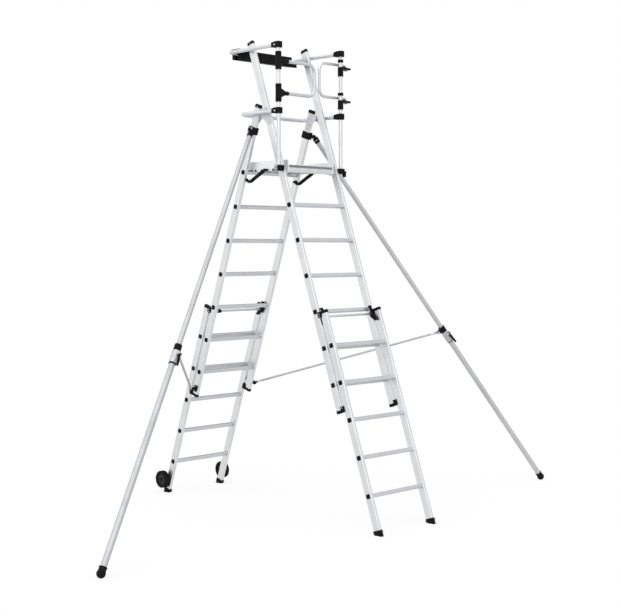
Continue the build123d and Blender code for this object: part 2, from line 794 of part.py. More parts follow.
# Left gate: a bent tube in two sleeves that turn on the left post
with BuildPart() as left_gate_sleeves:
    for height, way in ((left_bar_high, 1), (left_bar_low, -1)):
        with BuildSketch(Plane.XY.offset(height - sleeve_height / 2)):
            with Locations((post_at, -post_y)):
                Circle(post_radius + sleeve_wall)
        extrude(amount=sleeve_height)
        rod(
            Vector(post_at, -post_y, height),
            Vector(post_at, -post_y + sleeve_arm, height),
            left_gate_radius + tube_wall + fit,
        )
        with BuildSketch(Plane.YZ.offset(post_at - sleeve_wall)):
            with BuildLine():
                Polyline(
                    (-post_y, height - sleeve_gusset),
                    (-post_y + post_radius + sleeve_wall, height - sleeve_gusset),
                    (-post_y + sleeve_arm, height),
                    (-post_y + post_radius + sleeve_wall, height + sleeve_gusset),
                    (-post_y, height + sleeve_gusset),
                    close=True,
                )
            make_face()
        extrude(amount=2 * sleeve_wall)
        rod(
            Vector(post_at, -post_y, height),
            Vector(post_at, -post_y + 2 * sleeve_arm, height),
            left_gate_radius + fit,
            mode=Mode.SUBTRACT,
        )
    rod(
        Vector(post_at, -post_y, socket_low),
        Vector(post_at, -post_y, rail_height + rail_radius),
        post_radius + turn_gap,
        mode=Mode.SUBTRACT,
    )
keep(left_gate_sleeves, "left_gate_sleeves")
with BuildPart() as left_gate:
    gate_start = -post_y + post_radius + sleeve_wall
    with BuildLine() as left_path:
        FilletPolyline(
            (post_at, gate_start, left_bar_high),
            (post_at, left_gate_end, left_bar_high),
            (post_at, left_gate_end, left_bar_low),
            (post_at, gate_start, left_bar_low),
            radius=left_gate_bend,
        )
    with BuildSketch(Plane(origin=left_path.line @ 0, z_dir=left_path.line % 0)):
        Circle(left_gate_radius)
        Circle(left_gate_radius - tube_wall, mode=Mode.SUBTRACT)
    sweep(path=left_path.line)
keep(left_gate, "left_gate")

# Right gate: a bent tube whose two ends turn down into the collar arms
with BuildPart() as right_gate:
    with BuildLine() as right_path:
        FilletPolyline(
            (gate_x, gate_pivot_y, right_bar_high - right_pin_length),
            (gate_x, gate_pivot_y, right_bar_high),
            (gate_x, right_gate_end, right_bar_high),
            (gate_x, right_gate_end, right_bar_low),
            (gate_x, gate_pivot_y, right_bar_low),
            (gate_x, gate_pivot_y, right_bar_low - right_pin_length),
            radius=[right_pin_bend, right_gate_bend, right_gate_bend, right_pin_bend],
        )
    with BuildSketch(Plane(origin=right_path.line @ 0, z_dir=right_path.line % 0)):
        Circle(right_gate_radius)
        Circle(right_gate_radius - tube_wall, mode=Mode.SUBTRACT)
    sweep(path=right_path.line)
keep(right_gate, "right_gate")

# Tool tray: two troughs joined by a clip over the top rail's far end, with a flange over the rail's left arm
saddle_x = apex_x - rail_reach
saddle_half = rail_radius + face_gap
tray_far = saddle_x - saddle_half - 2 * tray_wall - tray_far_trough
tray_near = saddle_x + saddle_half + 2 * tray_wall + tray_near_trough
tray_rim = rail_height - tray_rim_drop
tray_slope = (tray_near_drop - tray_far_drop) / (tray_near - tray_far)
clip_under = rail_height + rail_radius + fit
clip_top = clip_under + tray_bridge
with BuildPart() as tool_tray:
    with BuildSketch(Plane.XZ.offset(tray_left_end)):
        with BuildLine():
            Polyline(
                (tray_far, tray_rim),
                (tray_far, rail_height - tray_far_drop),
                (tray_near, rail_height - tray_near_drop),
                (tray_near, tray_rim),
                close=True,
            )
        make_face()
    extrude(amount=-tray_length)
    with BuildSketch(Plane.XZ.offset(tray_left_end - tray_clip_start)):
        with Locations((saddle_x, clip_top)):
            Rectangle(
                2 * (saddle_half + tray_wall),
                clip_top - rail_height + rail_radius,
                align=(Align.CENTER, Align.MAX),
            )
    extrude(amount=-tray_clip_length)
    for trough_far, trough_near in (
        (tray_far + tray_wall, saddle_x - saddle_half - tray_wall),
        (saddle_x + saddle_half + tray_wall, tray_near - tray_wall),
    ):
        floor = rail_height - tray_far_drop + tray_wall
        with BuildSketch(Plane.XZ.offset(tray_left_end - tray_wall)):
            with BuildLine():
                Polyline(
                    (trough_far, tray_rim),
                    (trough_far, floor - tray_slope * (trough_far - tray_far)),
                    (trough_near, floor - tray_slope * (trough_near - tray_far)),
                    (trough_near, tray_rim),
                    close=True,
                )
            make_face()
        extrude(amount=-tray_length + 2 * tray_wall, mode=Mode.SUBTRACT)
    with BuildSketch(Plane.XZ.offset(tray_left_end)):
        with Locations((saddle_x, clip_under)):
            Rectangle(2 * saddle_half, tray_near_drop + 2 * rail_radius, align=(Align.CENTER, Align.MAX))
    extrude(amount=-tray_length, mode=Mode.SUBTRACT)
    with BuildSketch(Plane.XY.offset(tray_rim)):
        with Locations(((tray_far + tray_near) / 2, tray_length - tray_left_end - tray_step_length / 2)):
            Rectangle(tray_near - tray_far, tray_step_length)
    extrude(amount=-tray_step_drop, mode=Mode.SUBTRACT)
    with BuildSketch(Plane.YZ.offset(saddle_x + saddle_half)):
        with BuildLine():
            Polyline(
                (tray_wall - tray_left_end, rail_height - rail_radius),
                (tray_wall - tray_left_end, clip_top),
                (-post_y, clip_top),
                (-post_y, clip_under),
                (-tray_left_end, clip_under),
                (-tray_left_end, rail_height - rail_radius),
                close=True,
            )
        make_face()
    extrude(amount=tray_flange_length)
keep(tool_tray, "tool_tray")

# Outriggers: a hinge stub on the far stile, two telescopic tubes, a clamp with its lever, a foot and a strut
down_far = ladder(FAR).z_dir * -1
brackets = []
for hand_name, hand in HANDS.items():
    pivot_y = hand * (outer_face + outrigger_stand_off)
    pivot = spot(FAR, section_offset + outrigger_in, outrigger_along, pivot_y)
    ball = Vector(apex_x + outrigger_foot_x, hand * outrigger_foot_y, ball_centre)
    length = (ball - pivot).length
    along = (ball - pivot).normalized()
    turn = along.cross(down_far).normalized()
    out = turn * (1 if turn.Y * hand > 0 else -1)
    eye_half = hinge_eye_width / 2
    seat = spot(FAR, section_offset, strut_seat_along, hand * outer_face)
    stud_start = seat + across * (hand * (strut_seat_slab + strut_boss_length))
    stud_end = stud_start + across * (hand * strut_stud_length)
    with BuildPart() as bracket:
        # Arm from the slab on the stile to the hinge pin, cut off clear of the stile
        slab_y = hand * (outer_face + bracket_slab / 2)
        slab_way = spot(FAR, section_offset + outrigger_in / 2, outrigger_along, slab_y) - pivot
        arm_way = slab_way - out * slab_way.dot(out)
        arm_start = pivot - out * (eye_half + fit)
        with BuildSketch(Plane(origin=arm_start, x_dir=arm_way.normalized(), z_dir=out * -1)):
            Circle(hinge_boss_radius)
            with Locations((arm_way.length, 0)):
                Circle(hinge_boss_radius)
            make_hull()
        extrude(amount=hinge_arm_thick)
        low_plane = ladder(FAR).offset(outrigger_along - bracket_height / 2)
        with BuildSketch(low_plane.offset(-bracket_height)):
            with Locations((section_offset, hand * (outer_face + fit) / 2)):
                Rectangle(4 * stile_depth, outer_face + fit)
        extrude(amount=3 * bracket_height, mode=Mode.SUBTRACT)
        band_y = hand * (stile_y + (bracket_slab - bracket_wall) / 2)
        with BuildSketch(low_plane):
            with Locations((section_offset, band_y)):
                Rectangle(
                    stile_depth + 2 * fit + 2 * bracket_wall,
                    stile_thick + bracket_slab + bracket_wall,
                )
            with Locations((section_offset, hand * stile_y)):
                RectangleRounded(
                    stile_depth + 2 * fit, stile_thick + 2 * fit, stile_corner + fit, mode=Mode.SUBTRACT
                )
        extrude(amount=bracket_height)
        rod(
            pivot - out * (eye_half + fit + hinge_arm_thick / 2),
            pivot + out * (eye_half + fit),
            hinge_pin_radius,
        )
        rod(
            pivot + out * (eye_half + fit),
            pivot + out * (eye_half + fit + hinge_head_thick),
            hinge_head_radius,
        )
        with BuildSketch(ladder_side(FAR, hand * outer_face)):
            with Locations((section_offset, strut_seat_along)):
                RectangleRounded(strut_seat_depth, strut_seat_height, 2 * fit + bracket_wall)
        extrude(amount=FAR * hand * strut_seat_slab)
        rod(seat, stud_start, strut_boss_radius)
        rod(seat, stud_end, strut_stud_radius)
    brackets.append(bracket)

    leg_top = collar_at + strut_collar_down + clamp_gap
    with BuildPart() as tube:
        rod(pivot + along * tube_start, pivot + along * (leg_top + leg_overlap), outrigger_radius)
        rod(
            pivot + along * tube_start,
            pivot + along * (leg_top + leg_overlap),
            outrigger_radius - tube_wall,
            mode=Mode.SUBTRACT,
        )
    keep(tube, f"{hand_name}_outrigger_tube")

    # Strut line, from a pin beside the collar to the stud on the far stile
    stud_middle = (stud_start + stud_end) * 0.5
    strut_way = (stud_middle - (pivot + along * collar_at)).normalized()
    strut_turn = strut_way.cross(along).normalized()
    strut_side = along.cross(strut_turn).normalized()
    strut_side = strut_side * (1 if strut_side.dot(strut_way) > 0 else -1)
    strut_root = pivot + along * collar_at + strut_side * strut_pin_out
    strut_line = (stud_middle - strut_root).normalized()
    hook_inner = strut_stud_radius + strut_hook_gap
    hook_outer = hook_inner + strut_hook_wall
    strut_tip = stud_middle - strut_line * (hook_outer - strut_hook_wall / 3)
    fork_half = strut_fork_radius / 2
    with BuildPart() as fittings:
        rod(pivot - out * eye_half, pivot + out * eye_half, hinge_eye_radius)
        rod(pivot + along * yoke_start, pivot + along * (yoke_start + yoke_length), yoke_radius)
        rod(
            pivot + along * (collar_at - strut_collar_up),
            pivot + along * (collar_at + strut_collar_down),
            strut_collar_radius,
        )
        rod(
            pivot - out * (eye_half + hinge_eye_width),
            pivot - out * eye_half,
            hinge_boss_radius + yoke_radius,
            mode=Mode.SUBTRACT,
        )
        rod(
            pivot + out * eye_half,
            pivot + out * (eye_half + hinge_eye_width),
            hinge_boss_radius + yoke_radius,
            mode=Mode.SUBTRACT,
        )
        fork_plane = Plane(origin=strut_root - strut_turn * 3 * fork_half, x_dir=along, z_dir=strut_turn)
        with BuildSketch(fork_plane):
            Circle(strut_fork_radius)
            with Locations((0, fork_plane.to_local_coords(strut_root - strut_side * strut_pin_out).Y / 2)):
                Rectangle(2 * strut_fork_radius, strut_pin_out)
        extrude(amount=6 * fork_half)
        with BuildSketch(
            Plane(origin=strut_root - strut_turn * (fork_half + fit), x_dir=along, z_dir=strut_turn)
        ):
            Circle(strut_fork_radius + strut_fork_room)
        extrude(amount=2 * (fork_half + fit), mode=Mode.SUBTRACT)
        rod(
            strut_root - strut_turn * 3 * fork_half,
            strut_root + strut_turn * 3 * fork_half,
            strut_pin_radius,
        )
        rod(
            pivot + along * (tube_start - fit),
            pivot + along * (leg_top + leg_overlap),
            outrigger_radius + fit,
            mode=Mode.SUBTRACT,
        )
        rod(
            pivot - out * hinge_eye_width,
            pivot + out * hinge_eye_width,
            hinge_pin_radius + turn_gap,
            mode=Mode.SUBTRACT,
        )
    keep(fittings, f"{hand_name}_outrigger_fittings")

    with BuildPart() as leg:
        rod(pivot + along * leg_top, pivot + along * length, leg_radius)
        rod(
            pivot + along * leg_top,
            pivot + along * (length - ball_radius),
            outrigger_radius + slide_gap,
            mode=Mode.SUBTRACT,
        )
        with BuildSketch(Plane(origin=ball, z_dir=along)):
            Circle(ball_radius)
        extrude(amount=ball_radius, both=True, mode=Mode.SUBTRACT)
    keep(leg, f"{hand_name}_outrigger_leg")

    with BuildPart() as foot:
        with Locations(ball):
            Sphere(ball_radius)
        rod(ball, ball - along * foot_collar, leg_radius + boot_wall)
        rod(
            ball - along * ball_radius,
            ball - along * (3 * ball_radius),
            leg_radius + fit,
            mode=Mode.SUBTRACT,
        )
        split(bisect_by=Plane.XY, keep=Keep.TOP)
    keep(foot, f"{hand_name}_outrigger_foot")

    # Clamp on the leg's top with two ears, and the lever between them
    ear_way = Vector(1, 0, 0)
    ear_side = (ear_way - along * ear_way.dot(along)).normalized()
    ear_turn = along.cross(ear_side).normalized()
    lever_pin = pivot + along * (leg_top + clamp_ear) + ear_side * lever_pin_out
    ear_outer = clamp_ear_gap / 2 + clamp_ear_thick
    with BuildPart() as clamp:
        rod(
            pivot + along * (leg_top - boot_wall),
            pivot + along * (leg_top - boot_wall + clamp_length),
            clamp_radius,
        )
        ear_plane = Plane(origin=lever_pin - ear_turn * ear_outer, x_dir=along, z_dir=ear_turn)
        with BuildSketch(ear_plane):
            Circle(clamp_ear / 2)
            with Locations((0, -lever_pin_out / 2)):
                Rectangle(clamp_ear, lever_pin_out)
        extrude(amount=2 * ear_outer)
        with BuildSketch(
            Plane(origin=lever_pin - ear_turn * clamp_ear_gap / 2, x_dir=along, z_dir=ear_turn)
        ):
            with Locations((0, -lever_round - face_gap)):
                Rectangle(clamp_length, clamp_ear + 2 * lever_round, align=(Align.CENTER, Align.MIN))
        extrude(amount=clamp_ear_gap, mode=Mode.SUBTRACT)
        rod(lever_pin - ear_turn * ear_outer, lever_pin + ear_turn * ear_outer, lever_pin_radius)
        rod(
            pivot + along * leg_top,
            pivot + along * (leg_top + 2 * clamp_length),
            leg_radius + fit,
            mode=Mode.SUBTRACT,
        )
        rod(
            pivot + along * (leg_top - 2 * boot_wall),
            pivot + along * (leg_top + fit),
            outrigger_radius + slide_gap,
            mode=Mode.SUBTRACT,
        )
    keep(clamp, f"{hand_name}_outrigger_clamp")

    lever_half = clamp_ear_gap / 2 - fit
    with BuildPart() as lever:
        with BuildSketch(Plane(origin=lever_pin - ear_turn * lever_half, x_dir=along, z_dir=ear_turn)):
            Circle(lever_round)
            with Locations((lever_length, lever_lift)):
                Circle(lever_tip)
            make_hull()
            Circle(lever_pin_radius + turn_gap, mode=Mode.SUBTRACT)
        extrude(amount=2 * lever_half)
    keep(lever, f"{hand_name}_clamp_lever")

    with BuildPart() as strut:
        rod(strut_root + strut_line * strut_neck, strut_tip, strut_radius)
        rod(strut_root - strut_turn * fork_half, strut_root + strut_turn * fork_half, strut_fork_radius)
        with BuildSketch(Plane(origin=strut_root, x_dir=strut_turn, z_dir=strut_line)):
            Rectangle(2 * fork_half, 2 * strut_radius)
        extrude(amount=strut_neck + strut_radius)
        rod(
            strut_root - strut_turn * 2 * fork_half,
            strut_root + strut_turn * 2 * fork_half,
            strut_pin_radius + turn_gap,
            mode=Mode.SUBTRACT,
        )
        hook_half = across * (hand * (strut_stud_length / 2 - face_gap))
        rod(stud_middle - hook_half, stud_middle + hook_half, hook_outer)
        rod(stud_middle - hook_half * 2, stud_middle + hook_half * 2, hook_inner, mode=Mode.SUBTRACT)
        hook_top = ladder_side(FAR, stud_middle.Y)
        with BuildSketch(hook_top):
            with Locations((section_offset, strut_seat_along + hook_outer)):
                Rectangle(2 * hook_inner, 2 * hook_outer)
        extrude(amount=strut_stud_length, both=True, mode=Mode.SUBTRACT)
    keep(strut, f"{hand_name}_outrigger_strut")

with BuildPart() as outrigger_brackets:
    for bracket in brackets:
        add(bracket.part)
keep(outrigger_brackets, "outrigger_brackets")
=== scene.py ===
"""Dresses the folding work platform: finishes for the nodes, and small pieces that the solids leave plain."""
import json
import logging
from contextlib import contextmanager
from dataclasses import dataclass
from enum import Enum
from functools import cache
from math import cos, pi, radians, sin, sqrt
from typing import Any, Callable, Iterable, Iterator, Sequence

import bpy
from mathutils import Matrix, Vector


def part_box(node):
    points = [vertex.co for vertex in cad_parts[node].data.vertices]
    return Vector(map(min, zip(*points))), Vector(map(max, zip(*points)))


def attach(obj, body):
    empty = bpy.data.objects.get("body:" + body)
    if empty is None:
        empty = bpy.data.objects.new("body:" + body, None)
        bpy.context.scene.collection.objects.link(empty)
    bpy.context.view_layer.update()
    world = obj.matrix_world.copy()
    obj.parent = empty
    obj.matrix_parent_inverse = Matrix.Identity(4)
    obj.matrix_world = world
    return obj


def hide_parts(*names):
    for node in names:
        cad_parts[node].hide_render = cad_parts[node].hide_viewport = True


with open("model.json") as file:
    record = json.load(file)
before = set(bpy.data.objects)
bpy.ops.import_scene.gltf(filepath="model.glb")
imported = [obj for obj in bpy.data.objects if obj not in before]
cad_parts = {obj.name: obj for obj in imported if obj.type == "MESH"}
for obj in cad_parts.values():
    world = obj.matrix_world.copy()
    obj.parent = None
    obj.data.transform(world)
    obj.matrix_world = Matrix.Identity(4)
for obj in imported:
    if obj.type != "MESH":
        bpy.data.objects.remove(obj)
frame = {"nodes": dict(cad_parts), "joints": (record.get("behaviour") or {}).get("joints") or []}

log = logging.getLogger("work_platform")
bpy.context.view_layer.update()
NODES: dict[str, bpy.types.Object] = frame["nodes"]
IMAGE_WIDTH = 620
X, Y, Z = Vector((1.0, 0.0, 0.0)), Vector((0.0, 1.0, 0.0)), Vector((0.0, 0.0, 1.0))
SQUARE_ON = 0.9  # share of a unit normal along an axis above which a face counts as square to it

Piece = bpy.types.Object
Socket = bpy.types.NodeSocket
Tree = bpy.types.ShaderNodeTree
FaceTest = Callable[[Vector, Vector], bool]  # on a face's centre and normal
Pair = tuple[float, float]  # for a fixing: size across or radius, and height
Triple = tuple[float, float, float]
TubeSize = tuple[float, float, float, float]  # radius, bore, length and rounding at the ends
BarSize = tuple[float, float, float, float]  # width, length, height and the top's share of the width


class Labelled(Enum):
    """Choice whose name goes into the pieces' names."""

    @property
    def label(self) -> str:
        """The name in lower case."""
        return self.name.lower()


class Side(Labelled):
    """The two ladders of the A-frame, by the sign of X at their feet."""

    NEAR = 1
    FAR = -1


class Section(Labelled):
    """The two sections of a ladder, by the last word of the body that each one belongs to."""

    UPPER = "frame"
    LOWER = "legs"


class Hand(Labelled):
    """Left and right along the rungs, by the sign of Y."""

    LEFT = -1
    RIGHT = 1

    @property
    def out(self) -> Vector:
        """Direction along the rungs, away from the middle."""
        return Vector((0.0, self.value, 0.0))


@dataclass(frozen=True)
class LadderFrame:
    """Places on the two leaning ladders, in metres.

    A place is given by its offset inwards from a lower section's centre line, its distance up the ladder from
    the floor, and its Y.
    """

    lean: float = radians(18.85)
    half_span: float = 1.1885
    apex_x: float = 0.022683
    section_offset: float = 0.077
    rung_pitch: float = 0.28
    first_rung: float = 0.284
    outer_face: float = 0.302
    inner_face: float = 0.277

    def inward(self, side: Side) -> Vector:
        """Direction square to the ladder, towards the middle."""
        return Vector((-side.value * cos(self.lean), 0.0, -sin(self.lean)))

    def upward(self, side: Side) -> Vector:
        """Direction up the ladder."""
        return Vector((-side.value * sin(self.lean), 0.0, cos(self.lean)))

    def spot(self, side: Side, offset: float, along: float, y: float = 0.0) -> Vector:
        """Point on a ladder, from its offset inwards, its distance up the ladder and its Y."""
        foot = Vector((self.apex_x + side.value * self.half_span, y, 0.0))
        return foot + self.inward(side) * offset + self.upward(side) * along

    def rung(self, step: int) -> float:
        """Distance up the ladder of a rung position."""
        return self.first_rung + (step - 1) * self.rung_pitch


LADDERS = LadderFrame()
TREAD_STEPS = {Section.UPPER: range(4, 10), Section.LOWER: range(1, 6)}
DECK_STEP = 10
POST_X = LADDERS.apex_x + 0.228


@dataclass(frozen=True)
class OutriggerLine:
    """Axis of one outrigger, from its hinge on the far stile down to its ball foot, and its strut's hook."""

    hand: Hand
    hinge_along: float = 3.137
    inside: float = 0.034
    stand_off: float = 0.040
    foot: Triple = (0.733, 2.357, 0.0285)
    hook_along: float = 0.980
    hook_y: float = 0.350

    @property
    def hinge(self) -> Vector:
        """Middle of the hinge eye."""
        reach = self.hand.value * (LADDERS.outer_face + self.stand_off)
        return LADDERS.spot(Side.FAR, LADDERS.section_offset + self.inside, self.hinge_along, reach)

    @property
    def ball(self) -> Vector:
        """Centre of the ball foot."""
        from_apex, from_middle, height = self.foot
        return Vector((LADDERS.apex_x + from_apex, self.hand.value * from_middle, height))

    @property
    def hook(self) -> Vector:
        """Where the strut hooks over its stud on the far stile."""
        return LADDERS.spot(Side.FAR, LADDERS.section_offset, self.hook_along, self.hand.value * self.hook_y)

    @property
    def way(self) -> Vector:
        """Direction down the outrigger."""
        return (self.ball - self.hinge).normalized()

    @property
    def ear(self) -> Vector:
        """Direction in which the clamp's ears stand out, square to the outrigger."""
        return (X - self.way * X.dot(self.way)).normalized()

    @property
    def turn(self) -> Vector:
        """Direction of the clamp lever's pin."""
        return self.way.cross(self.ear)

    def spot(self, along: float, out: float = 0.0) -> Vector:
        """Point on the outrigger's axis, or beside it on the side of the clamp's ears."""
        return self.hinge + self.way * along + self.ear * out


def axes(origin: Vector, x_axis: Vector, y_axis: Vector, z_axis: Vector) -> Matrix:
    """Matrix with the given origin and axes."""
    return Matrix.Translation(origin) @ Matrix((x_axis, y_axis, z_axis)).transposed().to_4x4()


def seat(origin: Vector, z_axis: Vector, x_hint: Vector = X) -> Matrix:
    """Matrix that stands a piece modelled on the XY plane on a surface.

    Args:
        origin: Where the piece's origin goes.
        z_axis: The surface's outward normal.
        x_hint: Direction that the piece's X axis should follow.

    Returns:
        The placing matrix.
    """
    up = z_axis.normalized()
    side = x_hint - up * x_hint.dot(up)
    if side.length < 1e-6:
        side = Y - up * up.y
    side.normalize()
    return axes(origin, side, up.cross(side), up)


def on_stiles(
    side: Side, y: float, places: Sequence[Pair], outward: int = 1, x_hint: Vector = X
) -> list[Matrix]:
    """Seats on both stiles of a ladder that face along the rungs.

    Args:
        side: Which ladder.
        y: Distance of the seats from the middle.
        places: Offset inwards and distance up the ladder of each seat.
        outward: 1 to face outwards, -1 to face the middle.
        x_hint: Direction that each piece's X axis should follow.

    Returns:
        The placing matrices.
    """
    return [
        seat(LADDERS.spot(side, offset, along, hand.value * y), hand.out * outward, x_hint)
        for hand in Hand
        for offset, along in places
    ]


def everywhere(centre: Vector, normal: Vector) -> bool:
    """True for every face."""
    return True


def on_top(centre: Vector, normal: Vector) -> bool:
    """True for a face that looks up."""
    return normal.z > SQUARE_ON


def on_ends(centre: Vector, normal: Vector) -> bool:
    """True for a face that looks up or down."""
    return abs(normal.z) > SQUARE_ON


class Bench:
    """Hand tools for modelling: adds and picks objects, selects faces, shapes them and sets out copies."""

    @staticmethod
    def pick(*pieces: Piece) -> None:
        """Selects only the given pieces and makes the first one active."""
        bpy.ops.object.select_all(action="DESELECT")
        for piece in pieces:
            piece.select_set(True)
        bpy.context.view_layer.objects.active = pieces[0]

    @staticmethod
    @contextmanager
    def editing(piece: Piece, faces: FaceTest = everywhere) -> Iterator[None]:
        """Stays in edit mode with some faces selected.

        Args:
            piece: The mesh object.
            faces: Which faces are selected.

        Returns:
            The context in which operators act on those faces.
        """
        Bench.pick(piece)
        mesh = piece.data
        for part in (mesh.vertices, mesh.edges, mesh.polygons):
            part.foreach_set("select", [False] * len(part))
        for polygon in mesh.polygons:
            polygon.select = faces(polygon.center, polygon.normal)
        bpy.context.tool_settings.mesh_select_mode = (False, False, True)
        bpy.ops.object.mode_set(mode="EDIT")
        yield
        bpy.ops.object.mode_set(mode="OBJECT")

    @staticmethod
    def cylinder(vertices: int, radius: float, depth: float, middle: float = 0.0, ends: str = "NGON") -> Piece:
        """Adds a cylinder along Z.

        Args:
            vertices: Number of sides.
            radius: Radius to the corners.
            depth: Length along Z.
            middle: Height of its middle.
            ends: How its ends are filled.

        Returns:
            The cylinder.
        """
        bpy.ops.object.select_all(action="DESELECT")
        bpy.ops.mesh.primitive_cylinder_add(
            vertices=vertices, radius=radius, depth=depth, end_fill_type=ends, location=(0.0, 0.0, middle)
        )
        bpy.ops.object.transform_apply(location=True, rotation=False, scale=False)
        return bpy.context.active_object

    @staticmethod
    def block(*size: float) -> Piece:
        """Adds a block of the given size along X, Y and Z, centred on the origin."""
        bpy.ops.object.select_all(action="DESELECT")
        bpy.ops.mesh.primitive_cube_add(size=1.0)
        piece = bpy.context.active_object
        with Bench.editing(piece):
            bpy.ops.transform.resize(value=size)
        return piece

    @staticmethod
    def step(inset: float, rise: float) -> None:
        """Insets the selected faces and lifts what is inside."""
        bpy.ops.mesh.inset(thickness=inset)
        bpy.ops.transform.translate(value=(0.0, 0.0, rise))

    @staticmethod
    def bevel(piece: Piece, width: float, segments: int = 2) -> None:
        """Rounds a piece's sharp edges with an applied bevel.

        Args:
            piece: The mesh object.
            width: Bevel width in metres.
            segments: Number of segments across the bevel.
        """
        Bench.pick(piece)
        rounding = piece.modifiers.new("rounding", "BEVEL")
        rounding.width = width
        rounding.segments = segments
        rounding.limit_method = "ANGLE"
        rounding.angle_limit = radians(35.0)
        bpy.ops.object.modifier_apply(modifier=rounding.name)

    @staticmethod
    def land(node: str, start: Vector, way: Vector, x_hint: Vector = X) -> Matrix:
        """Seats a piece where a straight line first meets a node.

        Args:
            node: Name of the CAD node.
            start: Where the line starts, outside the node.
            way: Direction of the line.
            x_hint: Direction that the piece's X axis should follow.

        Returns:
            The placing matrix.
        """
        met, place, normal, _ = NODES[node].ray_cast(start, way.normalized())
        if not met:
            raise ValueError(f"the line misses {node}")
        return seat(place, normal, x_hint)

    @staticmethod
    def join(*pieces: Piece) -> Piece:
        """Joins pieces into the first of them."""
        Bench.pick(*pieces)
        if len(pieces) > 1:
            bpy.ops.object.join()
        return pieces[0]

    @staticmethod
    def set_out(pattern: Piece, places: Iterable[Matrix], name: str) -> Piece:
        """Copies a modelled pattern to each place and joins the copies.

        Args:
            pattern: The piece to copy, which is used up.
            places: A matrix for each copy.
            name: Name of the joined piece.

        Returns:
            The joined piece at the origin.
        """
        copies = []
        for place in places:
            copy = bpy.data.objects.new(name, pattern.data.copy())
            copy.data.transform(place)
            bpy.context.scene.collection.objects.link(copy)
            copies.append(copy)
        bpy.data.objects.remove(pattern)
        whole = Bench.join(*copies)
        whole.name = name
        whole.data.name = name
        return whole

    @staticmethod
    def smooth(piece: Piece, angle: float = 32.0) -> None:
        """Shades a piece smooth except over sharp edges."""
        Bench.pick(piece)
        bpy.ops.object.shade_smooth_by_angle(angle=radians(angle))


def feed(tree: Tree, node: bpy.types.Node, inputs: dict[str | int, Any]) -> None:
    """Feeds a node's inputs.

    Args:
        tree: The node's tree.
        node: The node.
        inputs: For an input's name or number, the socket that feeds it, or its constant value.
    """
    for title, value in inputs.items():
        if isinstance(value, Socket):
            tree.links.new(value, node.inputs[title])
        else:
            node.inputs[title].default_value = value


def wire(tree: Tree, kind: str, inputs: dict[str | int, Any] | None = None, **settings: Any) -> bpy.types.Node:
    """Adds a shader node.

    Args:
        tree: The tree that gets the node.
        kind: The node's type, after the words that every shader node's type starts with.
        inputs: What feeds its inputs.
        settings: Its own settings, such as its operation.

    Returns:
        The node.
    """
    node = tree.nodes.new(f"ShaderNode{kind}")
    for title, value in settings.items():
        setattr(node, title, value)
    feed(tree, node, inputs or {})
    return node


def reckon(tree: Tree, operation: str, *values: Any) -> Socket:
    """Result of a Math node on sockets or constant values."""
    return wire(tree, "Math", dict(enumerate(values)), operation=operation).outputs[0]


def spread(tree: Tree, value: Socket, low: float, high: float) -> Socket:
    """Maps a 0 to 1 socket to a range."""
    return wire(tree, "MapRange", {"Value": value, "To Min": low, "To Max": high}).outputs["Result"]


def cover(tree: Tree, mask: Socket, under: Socket, over: Triple) -> Socket:
    """Lays a colour over another one by a mask."""
    inputs = {"Factor": mask, "A": under, "B": (*over, 1.0)}
    return wire(tree, "Mix", inputs, data_type="RGBA").outputs["Result"]


